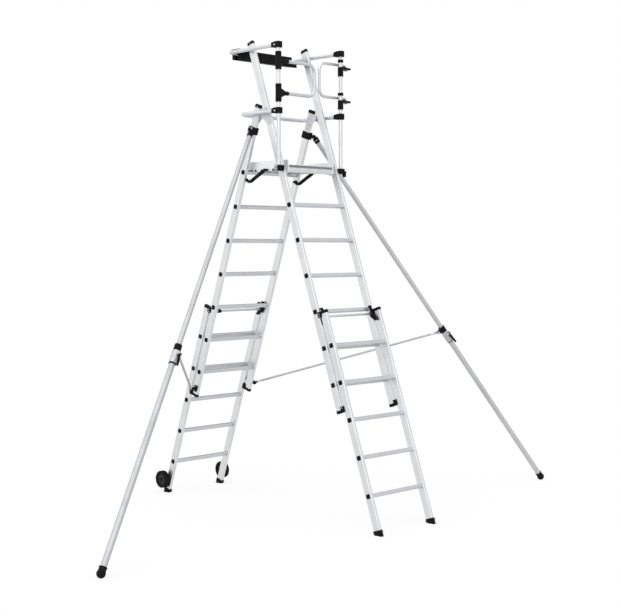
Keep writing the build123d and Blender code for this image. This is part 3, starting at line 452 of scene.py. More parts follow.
class Effects:
    """Shader node groups that several finishes share, each built once."""

    @staticmethod
    def _group(name: str, inputs: dict[str, float | None], *outputs: str) -> tuple[Tree, Any, bpy.types.Node]:
        """Starts a node group with its sockets.

        Args:
            name: The group's name.
            inputs: Default value of each input, or None for a vector.
            outputs: Name of each output.

        Returns:
            The group, its inputs' sockets and its output node.
        """
        group = bpy.data.node_groups.new(name, "ShaderNodeTree")
        for title, value in inputs.items():
            kind = "NodeSocketVector" if value is None else "NodeSocketFloat"
            socket = group.interface.new_socket(name=title, in_out="INPUT", socket_type=kind)
            if value is not None:
                socket.default_value = value
        for title in outputs:
            group.interface.new_socket(name=title, in_out="OUTPUT", socket_type="NodeSocketFloat")
        return group, group.nodes.new("NodeGroupInput").outputs, group.nodes.new("NodeGroupOutput")

    @staticmethod
    @cache
    def die_lines() -> Tree:
        """Fine lines that an extrusion die leaves, with faint longer bands under them."""
        group, given, result = Effects._group("die_lines", {"Vector": None, "Contrast": 0.1}, "Tone", "Height")
        place = given["Vector"]
        fine, broad = (
            wire(group, "TexNoise", {"Vector": place, "Scale": scale, "Detail": detail}).outputs["Fac"]
            for scale, detail in ((1.0, 3.0), (0.12, 2.0))
        )
        centred = reckon(group, "SUBTRACT", reckon(group, "ADD", fine, broad), 1.0)
        tone = reckon(group, "MULTIPLY_ADD", centred, given["Contrast"], 1.0)
        feed(group, result, {"Tone": tone, "Height": fine})
        return group

    @staticmethod
    @cache
    def handling_marks() -> Tree:
        """Patchy smudges and fine scuffs from use, as a mask."""
        sockets = {"Vector": None, "Size": 9.0, "Amount": 0.3}
        group, given, result = Effects._group("handling_marks", sockets, "Mask")
        noise = {"Vector": given["Vector"], "Scale": given["Size"], "Detail": 5.0, "Roughness": 0.62}
        patches = wire(group, "TexNoise", noise).outputs["Fac"]
        edge = wire(group, "MapRange", {"Value": patches, "From Min": 0.44, "From Max": 0.70}).outputs["Result"]
        feed(group, result, {"Mask": reckon(group, "MULTIPLY", edge, given["Amount"])})
        return group

    @staticmethod
    @cache
    def dipped_end() -> Tree:
        """Mask that is 1 within a reach of a point and falls off sharply."""
        sockets = {"Vector": None, "Centre": None, "Reach": 0.02}
        group, given, result = Effects._group("dipped_end", sockets, "Mask")
        gap = wire(group, "VectorMath", {0: given["Vector"], 1: given["Centre"]}, operation="DISTANCE")
        inside = reckon(group, "SUBTRACT", given["Reach"], gap.outputs["Value"])
        edge = wire(group, "MapRange", {"Value": inside, "From Min": -0.0006, "From Max": 0.0006})
        feed(group, result, {"Mask": edge.outputs["Result"]})
        return group

    @staticmethod
    @cache
    def mould_grain() -> Tree:
        """Fine pebbled grain of a moulded or cast surface."""
        group, given, result = Effects._group("mould_grain", {"Vector": None, "Scale": 600.0}, "Height", "Tone")
        place = given["Vector"]
        pebbles = wire(group, "TexVoronoi", {"Vector": place, "Scale": given["Scale"]}).outputs["Distance"]
        mist = wire(group, "TexNoise", {"Vector": place, "Scale": 35.0, "Detail": 4.0}).outputs["Fac"]
        feed(group, result, {"Height": pebbles, "Tone": mist})
        return group


BLACK: Triple = (0.005, 0.005, 0.0055)


@dataclass(frozen=True)
class Finish:
    """A surface finish with its own procedural material."""

    name: str
    color: Triple
    roughness: float
    metallic: float = 0.0
    slot: str = "aluminium"

    def _start(self) -> tuple[bpy.types.Material, Tree, bpy.types.Node, Socket]:
        """Makes the material, and gives it with its tree, its Principled shader and its Object coordinates."""
        material = bpy.data.materials.new(self.name)
        material.use_nodes = True
        material.diffuse_color = (*self.color, 1.0)
        tree = material.node_tree
        shader = tree.nodes["Principled BSDF"]
        shader.inputs["Metallic"].default_value = self.metallic
        return material, tree, shader, wire(tree, "TexCoord").outputs["Object"]

    def _toned(self, tree: Tree, tone: Socket, dirt: Triple, mask: Socket) -> Socket:
        """The finish's colour times a tone, with dirt over it by a mask."""
        scaled = wire(tree, "VectorMath", {0: self.color, "Scale": tone}, operation="SCALE")
        return cover(tree, mask, scaled.outputs["Vector"], dirt)

    @staticmethod
    def _marks(tree: Tree, place: Socket, size: float, amount: float) -> Socket:
        """Mask of the handling marks."""
        inputs = {"Vector": place, "Size": size, "Amount": amount}
        return wire(tree, "Group", inputs, node_tree=Effects.handling_marks()).outputs["Mask"]

    @staticmethod
    def _bump(tree: Tree, height: Socket, strength: float, distance: float) -> Socket:
        """Normal of a surface with the given height."""
        inputs = {"Height": height, "Strength": strength, "Distance": distance}
        return wire(tree, "Bump", inputs).outputs["Normal"]

    def make(self) -> bpy.types.Material:
        """Builds the material once."""
        raise NotImplementedError


@dataclass(frozen=True)
class Extruded(Finish):
    """Mill-finish aluminium with die lines along one direction."""

    along: Triple = (0.0, 0.0, 1.0)
    contrast: float = 0.10
    line_size: Triple = (0.0016, 0.0016, 0.5)
    line_strength: float = 0.12
    line_depth: float = 0.0004
    marks: float = 0.22
    marks_size: float = 6.0
    marks_tone: float = 0.72
    marks_roughness: float = 0.35

    @cache
    def make(self) -> bpy.types.Material:
        """Builds the material once.

        Returns:
            The material.
        """
        material, tree, shader, place = self._start()
        turn = Z.rotation_difference(Vector(self.along)).to_euler()
        mapping = {"Vector": place, "Rotation": turn, "Scale": self.line_size}
        run = wire(tree, "Mapping", mapping, vector_type="TEXTURE").outputs["Vector"]
        inputs = {"Vector": run, "Contrast": self.contrast}
        lines = wire(tree, "Group", inputs, node_tree=Effects.die_lines()).outputs
        marks = self._marks(tree, place, self.marks_size, self.marks)
        dull = tuple(self.marks_tone * channel for channel in self.color)
        feed(tree, shader, {
            "Base Color": self._toned(tree, lines["Tone"], dull, marks),
            "Roughness": spread(tree, marks, self.roughness, self.roughness + self.marks_roughness),
            "Normal": self._bump(tree, lines["Height"], self.line_strength, self.line_depth),
        })
        return material


@dataclass(frozen=True)
class Dipped(Extruded):
    """Bare tube with one end dipped in black plastic."""

    centre: Triple = (0.0, 0.0, 0.0)
    reach: float = 0.024
    dip: Triple = BLACK
    specular: float = 0.10

    @cache
    def make(self) -> bpy.types.Material:
        """Builds the bare tube's material and adds the dipped end to it.

        Returns:
            The material.
        """
        material = super().make()
        tree = material.node_tree
        shader = tree.nodes["Principled BSDF"]
        bare = shader.inputs["Base Color"].links[0].from_socket
        place = wire(tree, "TexCoord").outputs["Object"]
        inputs = {"Vector": place, "Centre": self.centre, "Reach": self.reach}
        dipped = wire(tree, "Group", inputs, node_tree=Effects.dipped_end()).outputs["Mask"]
        feed(tree, shader, {
            "Base Color": cover(tree, dipped, bare, self.dip),
            "Metallic": spread(tree, dipped, 1.0, 0.0),
            "Specular IOR Level": self.specular,
        })
        return material


@dataclass(frozen=True)
class Moulded(Finish):
    """Moulded, cast or coated surface with a pebbled grain and handling marks."""

    grain: float = 600.0
    depth: float = 0.0003
    strength: float = 0.25
    dust: Triple = (0.10, 0.10, 0.10)
    marks: float = 0.30
    marks_size: float = 14.0
    marks_roughness: float = 0.2
    mottle: float = 0.2
    specular: float = 0.5

    @cache
    def make(self) -> bpy.types.Material:
        """Builds the material once.

        Returns:
            The material.
        """
        material, tree, shader, place = self._start()
        inputs = {"Vector": place, "Scale": self.grain}
        grain = wire(tree, "Group", inputs, node_tree=Effects.mould_grain()).outputs
        marks = self._marks(tree, place, self.marks_size, self.marks)
        tone = spread(tree, grain["Tone"], 1.0 - self.mottle, 1.0 + self.mottle)
        feed(tree, shader, {
            "Specular IOR Level": self.specular,
            "Base Color": self._toned(tree, tone, self.dust, marks),
            "Roughness": spread(tree, marks, self.roughness, self.roughness + self.marks_roughness),
            "Normal": self._bump(tree, grain["Height"], self.strength, self.depth),
        })
        return material


TUBE_GREY: Triple = (0.66, 0.67, 0.69)
FAINT_DUST: Triple = (0.018, 0.018, 0.018)
FLOOR_DUST: Triple = (0.03, 0.029, 0.027)
STILE_GREY: Triple = (0.70, 0.705, 0.715)
STILE_METAL = {
    side: Extruded(f"{side.label}_extrusion", STILE_GREY, 0.34, 1.0, along=tuple(LADDERS.upward(side)))
    for side in Side
}
RUNG_EXTRUSION = Extruded("rung_extrusion", (0.58, 0.59, 0.61), 0.38, 1.0, along=tuple(Y))
POST_TUBE = Extruded("post_tube", TUBE_GREY, 0.46, 1.0, along=tuple(Z))
RAIL_TUBE = Extruded("rail_tube", TUBE_GREY, 0.46, 1.0, along=tuple(X))
GATE_TUBE = Extruded("gate_tube", (0.60, 0.61, 0.63), 0.46, 1.0, along=tuple(Y))
SIDE_PANEL = Extruded("deck_side_panel", (0.80, 0.81, 0.83), 0.40, 0.9, along=tuple(X))
# One aluminium in a lit and a shaded copy: the left tube's colour is painted darker than the right's, as
# painted shade that takes the place of the light falling on it.
OUTRIGGER_TUBES_LIT_AND_SHADED = {
    hand: Extruded(
        f"{hand.label}_outrigger_tube_metal", color, roughness, 1.0, along=tuple(OutriggerLine(hand).way)
    )
    for hand, color, roughness in (
        # painted shade: this colour is darker than the right tube's
        (Hand.LEFT, (0.50, 0.505, 0.52), 0.58),
        (Hand.RIGHT, (0.56, 0.565, 0.58), 0.56),
    )
}
STRUT_TUBES = {
    hand: Dipped(
        f"{hand.label}_strut_metal", (0.48, 0.49, 0.51), 0.54, 1.0, along=(0.69, hand.value * 0.69, 0.2),
        centre=tuple(OutriggerLine(hand).hook),
    )
    for hand in Hand
}
ZINC = Moulded(
    "zinc_fixings", (0.62, 0.63, 0.65), 0.36, 1.0, grain=900.0, depth=0.0001, dust=(0.35, 0.34, 0.33)
)
PLATE = Moulded(
    "grey_plate", (0.62, 0.62, 0.66), 0.46, 0.35, "plate", grain=500.0, depth=0.0002, dust=(0.36, 0.36, 0.38)
)
DECK_PANEL = Moulded(
    "deck_panel_coat", (0.62, 0.63, 0.65), 0.55, 0.1, "deck_panel", grain=160.0, depth=0.0010,
    dust=(0.42, 0.42, 0.42),
)
BLACK_PLASTIC = Moulded("black_moulding", BLACK, 0.48, slot="black_plastic", dust=FAINT_DUST, specular=0.07)
BLACK_TRAY = Moulded(
    "black_tray", BLACK, 0.52, slot="black_plastic", grain=420.0, dust=FAINT_DUST, specular=0.07
)
BLACK_COAT = Moulded(
    "black_powder_coat", (0.008, 0.008, 0.009), 0.42, slot="black_steel", grain=380.0, depth=0.0002,
    dust=(0.022, 0.022, 0.022), specular=0.09,
)
CAST_GREY = Moulded(
    "cast_grey", (0.50, 0.51, 0.53), 0.50, 0.85, "casting", grain=320.0, depth=0.0005, dust=(0.30, 0.30, 0.31)
)
FOOT_RUBBER = Moulded(
    "foot_rubber", (0.008, 0.008, 0.008), 0.74, slot="rubber", grain=260.0, dust=FLOOR_DUST, specular=0.07
)
TYRE_RUBBER = Moulded(
    "tyre_rubber", (0.007, 0.007, 0.007), 0.76, slot="tyre", grain=300.0, dust=FLOOR_DUST, specular=0.07
)
NOSING = Moulded(
    "deck_nosing_rubber", (0.20, 0.20, 0.21), 0.62, slot="rubber", grain=300.0, dust=(0.30, 0.30, 0.30)
)
HUB_PLASTIC = Moulded(
    "hub_plastic", (0.042, 0.042, 0.044), 0.50, slot="hub", grain=480.0, dust=(0.06, 0.06, 0.06), specular=0.10
)


def finishes(table: dict[Finish, str], start: str = "") -> dict[str, Finish]:
    """Finish of each node, from the nodes' names for each finish and the start that those names share."""
    return {start + name: finish for finish, names in table.items() for name in names.split()}


NODE_FINISH: dict[str, Finish] = finishes({
    DECK_PANEL: "deck",
    SIDE_PANEL: "deck_sides",
    ZINC: "deck_fittings",
    BLACK_COAT: "deck_stays wheel_axles",
    POST_TUBE: "guard_post_left guard_post_right",
    RAIL_TUBE: "top_rail knee_rail",
    GATE_TUBE: "left_gate right_gate",
    BLACK_PLASTIC: "post_sockets guard_connectors left_gate_sleeves outrigger_brackets",
    BLACK_TRAY: "tool_tray",
})
for each_hand in Hand:
    NODE_FINISH |= finishes({
        OUTRIGGER_TUBES_LIT_AND_SHADED[each_hand]: "outrigger_tube outrigger_leg",
        STRUT_TUBES[each_hand]: "outrigger_strut",
        BLACK_PLASTIC: "outrigger_fittings clamp_lever",
        CAST_GREY: "outrigger_clamp",
        FOOT_RUBBER: "outrigger_foot",
        HUB_PLASTIC: "wheel_hub",
        TYRE_RUBBER: "wheel_tyre",
    }, f"{each_hand.label}_")
for each_side in Side:
    NODE_FINISH |= finishes({
        STILE_METAL[each_side]: "upper_stile_left upper_stile_right lower_stile_left lower_stile_right",
        RUNG_EXTRUSION: "upper_rungs lower_rungs",
        BLACK_PLASTIC: "upper_plugs lower_plugs upper_end_caps lower_guides latch",
        PLATE: "apex_plates",
        FOOT_RUBBER: "feet",
    }, f"{each_side.label}_")


def dress(piece: Piece, finish: Finish) -> None:
    """Gives a piece one finish and smooths its round faces."""
    piece.data.materials.clear()
    piece.data.materials.append(finish.make())
    Bench.smooth(piece)


def fit(name: str, body: str, finish: Finish, places: Iterable[Matrix], pattern: Piece) -> Piece:
    """Sets a modelled pattern out over a body.

    Args:
        name: Name of the joined piece.
        body: The body that it moves with.
        finish: Its finish.
        places: A matrix for each copy of the pattern.
        pattern: The modelled pattern, which is used up.

    Returns:
        The joined and dressed piece.
    """
    whole = Bench.set_out(pattern, places, name)
    dress(whole, finish)
    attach(whole, body)
    return whole


@dataclass
class NodeDressing:
    """Finishes of the CAD nodes."""

    def build(self) -> list[Piece]:
        """Dresses every node.

        Returns:
            The nodes.
        """
        for name, node in NODES.items():
            dress(node, NODE_FINISH[name])
        return list(NODES.values())


class Fixings:
    """Patterns of small fixings, each modelled once at the origin with its seat on the XY plane."""

    @staticmethod
    def hex_bolt(across: float, height: float) -> Piece:
        """Hexagon head with a washer and a chamfered, dished top.

        Args:
            across: Size across the flats.
            height: Height of the head above the washer.

        Returns:
            The modelled bolt head.
        """
        washer = 0.22 * height
        head = Bench.cylinder(6, across / sqrt(3.0), height, washer + height / 2)
        with Bench.editing(head, on_top):
            Bench.step(0.10 * across, 0.12 * height)
            Bench.step(0.12 * across, -0.06 * height)
        Bench.bevel(head, 0.035 * across)
        disc = Bench.cylinder(28, 0.78 * across, washer, washer / 2)
        Bench.bevel(disc, 0.3 * washer)
        return Bench.join(head, disc)

    @staticmethod
    def rivet(radius: float) -> Piece:
        """Domed rivet head with a dimple where its mandrel broke off.

        Args:
            radius: Radius of the head.

        Returns:
            The modelled rivet head.
        """
        bpy.ops.object.select_all(action="DESELECT")
        bpy.ops.mesh.primitive_uv_sphere_add(segments=20, ring_count=10, radius=radius)
        dome = bpy.context.active_object
        with Bench.editing(dome):
            bpy.ops.mesh.bisect(
                plane_co=(0.0, 0.0, 0.0), plane_no=Z, use_fill=True, clear_inner=True, clear_outer=False
            )
            bpy.ops.mesh.select_all(action="SELECT")
            bpy.ops.transform.resize(value=(1.0, 1.0, 0.45))
        with Bench.editing(dome, lambda centre, normal: centre.z > 0.40 * radius):
            bpy.ops.transform.translate(value=(0.0, 0.0, -0.16 * radius))
        return dome

    @staticmethod
    def socket_screw(radius: float, height: float) -> Piece:
        """Button-head screw with a hollow for its key.

        Args:
            radius: Radius of the head.
            height: Height of the head.

        Returns:
            The modelled screw head.
        """
        head = Bench.cylinder(24, radius, height, height / 2)
        with Bench.editing(head, on_top):
            bpy.ops.mesh.inset(thickness=0.30 * radius)
            bpy.ops.mesh.inset(thickness=0.18 * radius)
            bpy.ops.mesh.extrude_region_move(TRANSFORM_OT_translate={"value": (0.0, 0.0, -0.6 * height)})
        Bench.bevel(head, 0.12 * radius)
        return head


class Shapes:
    """Patterns of larger details, each modelled once at the origin."""

    @staticmethod
    def tube(radius: float, bore: float, length: float, edge: float = 0.0004, sides: int = 32) -> Piece:
        """Open sleeve along Z with rounded ends.

        Args:
            radius: Outer radius.
            bore: Radius of the bore.
            length: Length, half of it on each side of the origin.
            edge: Width of the rounding at the ends.
            sides: Number of sides.

        Returns:
            The modelled sleeve.
        """
        sleeve = Bench.cylinder(sides, radius, length)
        with Bench.editing(sleeve, on_ends):
            bpy.ops.mesh.inset(thickness=radius - bore)
            bpy.ops.mesh.bridge_edge_loops()
        Bench.bevel(sleeve, edge)
        return sleeve

    @staticmethod
    def bar(width: float, length: float, height: float, top: float = 0.6) -> Piece:
        """Low bar along Y that stands on the XY plane, half sunk, and narrows towards its top.

        Args:
            width: Width along X at the foot.
            length: Length along Y.
            height: Height above the XY plane.
            top: Width of the top as a share of the foot's.

        Returns:
            The modelled bar.
        """
        bar = Bench.block(width, length, 2 * height)
        with Bench.editing(bar, on_top):
            bpy.ops.transform.resize(value=(top, 1.0 - (1.0 - top) * width / length, 1.0))
        return bar

    @staticmethod
    def plug_face(size: float, height: float) -> Piece:
        """Square plug face with a raised border and a sunk middle.

        Args:
            size: Side of the square.
            height: Height above the plug.

        Returns:
            The modelled face.
        """
        face = Shapes.bar(size, size, height, 0.9)
        with Bench.editing(face, on_top):
            Bench.step(0.14 * size, -0.7 * height)
            Bench.step(0.12 * size, 0.5 * height)
        Bench.bevel(face, 0.03 * size)
        return face

    @staticmethod
    def edge_bead(size: Triple, wall: float, long_side: int) -> Piece:
        """Bead along the -Y end and one long side of a rectangle, centred on the XY plane.

        Args:
            size: Size of the rectangle along X and Y, and height of the bead.
            wall: Thickness of the bead.
            long_side: 1 for the long side at high X, -1 for the one at low X.

        Returns:
            The modelled bead.
        """

        def open_side(centre: Vector, normal: Vector) -> bool:
            """True for a face that has no bead."""
            return on_ends(centre, normal) or max(normal.y, -long_side * normal.x) > SQUARE_ON

        bead = Bench.block(*size)
        with Bench.editing(bead, open_side):
            bpy.ops.mesh.delete(type="FACE")
        Bench.pick(bead)
        thick = bead.modifiers.new("thick", "SOLIDIFY")
        thick.thickness = wall
        thick.offset = 0.0
        bpy.ops.object.modifier_apply(modifier=thick.name)
        Bench.bevel(bead, 0.3 * wall)
        return bead


@dataclass
class LadderSection:
    """One section of one ladder."""

    side: Side
    section: Section

    @property
    def label(self) -> str:
        """Start of the names of the section's pieces."""
        return f"{self.side.label}_{self.section.label}"

    @property
    def body(self) -> str:
        """Body that the section belongs to."""
        return f"{self.side.label}_{self.section.value}"

    @property
    def offset(self) -> float:
        """Offset of the section's centre line."""
        return LADDERS.section_offset if self.section is Section.UPPER else 0.0


@dataclass
class RungTreads(LadderSection):
    """Raised grip ribs along the standing face of every rung of one ladder section."""

    half_length: float = 0.274
    half_rung: float = 0.015
    rib_width: float = 0.0016
    rib_height: float = 0.0010
    rib_pitch: float = 0.0034
    ribs: int = 5

    def build(self) -> list[Piece]:
        """Models one rib and sets it out on every rung.

        Returns:
            The joined ribs.
        """
        up, across = LADDERS.upward(self.side), LADDERS.inward(self.side)
        shifts = [(index - (self.ribs - 1) / 2) * self.rib_pitch for index in range(self.ribs)]
        places = [
            seat(LADDERS.spot(self.side, self.offset + shift, LADDERS.rung(step) + self.half_rung), up, across)
            for step in TREAD_STEPS[self.section]
            for shift in shifts
        ]
        rib = Shapes.bar(self.rib_width, 2 * self.half_length, self.rib_height)
        return [fit(f"{self.label}_treads", self.body, RUNG_EXTRUSION, places, rib)]


@dataclass
class PlugFaces(LadderSection):
    """Moulded faces on the rung plugs of one ladder section."""

    face_y: float = 0.305
    size: Pair = (0.027, 0.0012)

    def build(self) -> list[Piece]:
        """Sets the faces out on both ends of every rung.

        Returns:
            The joined faces.
        """
        steps = list(TREAD_STEPS[self.section])
        if (self.side, self.section) == (Side.FAR, Section.UPPER):
            steps.append(DECK_STEP)
        rungs = [(self.offset, LADDERS.rung(step)) for step in steps]
        places = on_stiles(self.side, self.face_y, rungs, x_hint=LADDERS.upward(self.side))
        return [fit(f"{self.label}_plug_faces", self.body, BLACK_PLASTIC, places, Shapes.plug_face(*self.size))]


@dataclass
class LatchSleeve:
    """Pale sleeve on the bar of one rung latch, and the black grips on that sleeve."""

    side: Side
    grip_y: tuple[float, ...] = ()
    offset: float = 0.042
    along: float = 1.636
    half_length: float = 0.2575
    bar: float = 0.0072
    wall: float = 0.0016
    grip_radius: float = 0.0155
    grip_length: float = 0.030
    grip_edge: float = 0.0015

    def _seats(self, *spots: float) -> list[Matrix]:
        """Seats on the bar at the given Y."""
        return [seat(LADDERS.spot(self.side, self.offset, self.along, y), Y) for y in spots]

    def build(self) -> list[Piece]:
        """Slides the sleeve over the bar, and the grips over the sleeve.

        Returns:
            The pieces.
        """
        body, outer = f"{self.side.label}_latch", self.bar + self.wall
        sleeve = Shapes.tube(outer, self.bar, 2 * self.half_length)
        pieces = [fit(f"{body}_sleeve", body, RUNG_EXTRUSION, self._seats(0.0), sleeve)]
        if self.grip_y:
            grip = Shapes.tube(self.grip_radius, outer, self.grip_length, self.grip_edge)
            pieces.append(fit(f"{body}_grip", body, BLACK_PLASTIC, self._seats(*self.grip_y), grip))
        return pieces


@dataclass
class Hardware:
    """Rivets, bolts and screws where pieces are fastened, and the catch on the right post's socket."""

    apex_along: float = 3.27546
    apex_shifts: Triple = (-0.082, -0.048, 0.006)
    apex_rivet: float = 0.0062
    plate_thick: float = 0.003
    socket_face: float = 0.362
    socket_heights: Pair = (2.632, 2.651)
    socket_bolt: Pair = (0.013, 0.006)
    catch_front: float = 0.025
    catch_y: float = 0.353
    catch_size: BarSize = (0.017, 0.050, 0.014, 0.7)
    connector_face: float = 0.358
    connector_back: float = 0.020
    connector_screw: Pair = (0.0075, 0.0045)
    rail_heights: Pair = (3.557, 3.068)
    bracket_along: float = 3.137
    bracket_face: float = 0.316
    bracket_shifts_in: Pair = (-0.028, 0.004)
    bracket_shifts_up: Pair = (-0.019, 0.019)
    bracket_bolt: Pair = (0.010, 0.005)
    seat_along: float = 0.980
    seat_face: float = 0.311
    seat_shifts: Pair = (-0.018, 0.018)
    seat_screw: Pair = (0.005, 0.0035)
    guide_face: float = 0.3063
    guide_offset: float = 0.0385
    guide_screw: Pair = (0.0045, 0.003)
    guide_alongs: tuple[tuple[Section, tuple[float, ...]], ...] = (
        (Section.LOWER, (1.636, 1.654)),
        (Section.UPPER, (0.946,)),
    )

    @staticmethod
    def _on_posts(x: float, y: float, heights: Iterable[float]) -> list[Matrix]:
        """Seats on the outer sides of both guard posts' fittings."""
        return [seat(Vector((x, hand.value * y, height)), hand.out) for hand in Hand for height in heights]

    def _apex_sets(self) -> list[Piece]:
        """Apex rivets of both ladders.

        Returns:
            The joined sets.
        """
        rivets = [(LADDERS.section_offset, self.apex_along + shift) for shift in self.apex_shifts]
        return [
            fit(
                f"{side.label}_apex_rivets", f"{side.label}_frame", ZINC,
                on_stiles(side, face, rivets, outward), Fixings.rivet(self.apex_rivet),
            )
            for side, face, outward in (
                (Side.NEAR, LADDERS.outer_face + self.plate_thick, 1),
                (Side.FAR, LADDERS.inner_face - self.plate_thick, -1),
            )
        ]

    def _socket_sets(self) -> list[Piece]:
        """Fixings of the guard posts' sockets and connectors.

        Returns:
            The joined sets.
        """
        bolts = self._on_posts(POST_X, self.socket_face, self.socket_heights)
        catch = seat(Vector((POST_X + self.catch_front, self.catch_y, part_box("post_sockets")[0].z)), X, Y)
        screws = self._on_posts(POST_X - self.connector_back, self.connector_face, self.rail_heights)
        return [
            fit("socket_bolts", "near_frame", ZINC, bolts, Fixings.hex_bolt(*self.socket_bolt)),
            fit("socket_catch", "near_frame", BLACK_PLASTIC, [catch], Shapes.bar(*self.catch_size)),
            fit("connector_screws", "near_frame", ZINC, screws, Fixings.socket_screw(*self.connector_screw)),
        ]

    def _outrigger_sets(self) -> list[Piece]:
        """Fixings of the outriggers' brackets and the struts' seats on the far stiles.

        Returns:
            The joined sets.
        """
        offset = LADDERS.section_offset
        brackets = on_stiles(Side.FAR, self.bracket_face, [
            (offset + shift_in, self.bracket_along + shift_up)
            for shift_in in self.bracket_shifts_in
            for shift_up in self.bracket_shifts_up
        ])
        seats = on_stiles(Side.FAR, self.seat_face, [(offset, self.seat_along + up) for up in self.seat_shifts])
        return [
            fit("bracket_bolts", "far_frame", ZINC, brackets, Fixings.hex_bolt(*self.bracket_bolt)),
            fit("strut_seat_screws", "far_frame", ZINC, seats, Fixings.socket_screw(*self.seat_screw)),
        ]

    def _guide_sets(self) -> list[Piece]:
        """Screws in the slide guides' outer lips.

        Returns:
            The joined sets.
        """
        return [
            fit(
                f"{side.label}_{section.label}_guide_screws", f"{side.label}_{section.value}", ZINC,
                on_stiles(side, self.guide_face, [(self.guide_offset, along) for along in alongs]),
                Fixings.socket_screw(*self.guide_screw),
            )
            for side in Side
            for section, alongs in self.guide_alongs
        ]

    def build(self) -> list[Piece]:
        """Builds every set of fixings."""
        return [*self._apex_sets(), *self._socket_sets(), *self._outrigger_sets(), *self._guide_sets()]


@dataclass
class DeckDetails:
    """Grip ridges, nosing, stiffening channels and side studs of the deck, and the sleeves on its stays."""

    half_width: float = 0.226
    thick: float = 0.024
    ridge_pitch: float = 0.0122
    ridge_margin: float = 0.020
    ridge_width: float = 0.0052
    ridge_height: float = 0.0014
    ridge_top: float = 0.45
    nosing_length: float = 0.470
    nosing_width: float = 0.018
    nosing_thick: float = 0.0012
    nosing_top: float = 0.9
    nosing_ribs: Triple = (-0.006, 0.0, 0.006)
    nosing_rib_width: float = 0.0034
    nosing_rib_height: float = 0.0024
    channel_y: tuple[float, ...] = (-0.165, -0.06, 0.06, 0.165)
    channel_near_gap: float = 0.045
    channel_far_gap: float = 0.060
    channel_width: float = 0.034
    channel_height: float = 0.012
    channel_top: float = 0.7
    side_face: float = 0.250
    stud_drop: float = 0.0090
    stud_places: tuple[float, ...] = (-0.120, -0.055, 0.010, 0.075)
    stud_radius: float = 0.0090
    stay_root: Pair = (0.092, 2.750)
    stay_y: float = 0.2645
    stay_bend: Triple = (0.037, 0.0, -0.023)
    stay_end: Triple = (0.212, 0.0, 0.066)
    sleeve_share: float = 0.50
    sleeve_size: TubeSize = (0.0138, 0.0087, 0.165, 0.0012)
    collar_share: float = 0.56
    collar_size: TubeSize = (0.0120, 0.0087, 0.014, 0.0010)
    washer_size: TubeSize = (0.0160, 0.0090, 0.0034, 0.0008)

    def _top(self) -> list[Piece]:
        """Grip ridges across the standing face, and the ribbed strip along its near edge.

        Returns:
            The pieces.
        """
        low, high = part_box("deck")
        count = int((high.x - low.x - 2 * self.ridge_margin) / self.ridge_pitch)
        start = (low.x + high.x - count * self.ridge_pitch) / 2
        ridges = [seat(Vector((start + n * self.ridge_pitch, 0.0, high.z)), Z) for n in range(count + 1)]
        ridge = Shapes.bar(self.ridge_width, 2 * self.half_width, self.ridge_height, self.ridge_top)
        middle = Vector((high.x, 0.0, high.z - self.thick / 2))
        ribs = [seat(middle + Z * shift, X, Z) for shift in self.nosing_ribs]
        strip = Shapes.bar(self.nosing_width, self.nosing_length, self.nosing_thick, self.nosing_top)
        rib = Shapes.bar(self.nosing_rib_width, self.nosing_length, self.nosing_rib_height)
        return [
            fit("deck_ridges", "platform", DECK_PANEL, ridges, ridge),
            fit("deck_nosing", "platform", NOSING, [seat(middle, X, Z)], strip),
            fit("deck_nosing_ribs", "platform", NOSING, ribs, rib),
        ]

    def _underside(self) -> list[Piece]:
        """Channels between the far rung and the hinge tube, and black studs along the sides' lower edges.

        Returns:
            The pieces.
        """
        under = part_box("deck")[1].z - self.thick
        far, near = (
            LADDERS.spot(side, LADDERS.section_offset, LADDERS.rung(DECK_STEP)).x + gap
            for side, gap in ((Side.FAR, self.channel_far_gap), (Side.NEAR, -self.channel_near_gap))
        )
        channels = [seat(Vector(((near + far) / 2, y, under)), -Z, Y) for y in self.channel_y]
        channel = Shapes.bar(self.channel_width, near - far, self.channel_height, self.channel_top)
        studs = [
            seat(Vector((LADDERS.apex_x + x, hand.value * self.side_face, under - self.stud_drop)), hand.out)
            for hand in Hand
            for x in self.stud_places
        ]
        return [
            fit("deck_channels", "platform", RUNG_EXTRUSION, channels, channel),
            fit("deck_side_studs", "platform", BLACK_PLASTIC, studs, Fixings.rivet(self.stud_radius)),
        ]

    def _stays(self) -> list[Piece]:
        """Rubber sleeves on both legs of the stays, and washers where the stays turn in the far stiles.

        Returns:
            The pieces.
        """
        sleeves, collars, washers = [], [], []
        washer_y = LADDERS.inner_face - self.washer_size[2] / 2
        for hand in Hand:
            root = LADDERS.spot(Side.FAR, *self.stay_root, hand.value * self.stay_y)
            bend, end = root + Vector(self.stay_bend), root + Vector(self.stay_end)
            sleeves.append(seat(bend.lerp(end, self.sleeve_share), end - bend))
            collars.append(seat(root.lerp(bend, self.collar_share), bend - root))
            washers.append(seat(LADDERS.spot(Side.FAR, *self.stay_root, hand.value * washer_y), Y))
        return [
            fit("stay_sleeves", "stays", FOOT_RUBBER, sleeves, Shapes.tube(*self.sleeve_size)),
            fit("stay_collars", "stays", FOOT_RUBBER, collars, Shapes.tube(*self.collar_size)),
            fit("stay_washers", "far_frame", BLACK_PLASTIC, washers, Shapes.tube(*self.washer_size)),
        ]

    def build(self) -> list[Piece]:
        """Builds the deck's details."""
        return [*self._top(), *self._underside(), *self._stays()]


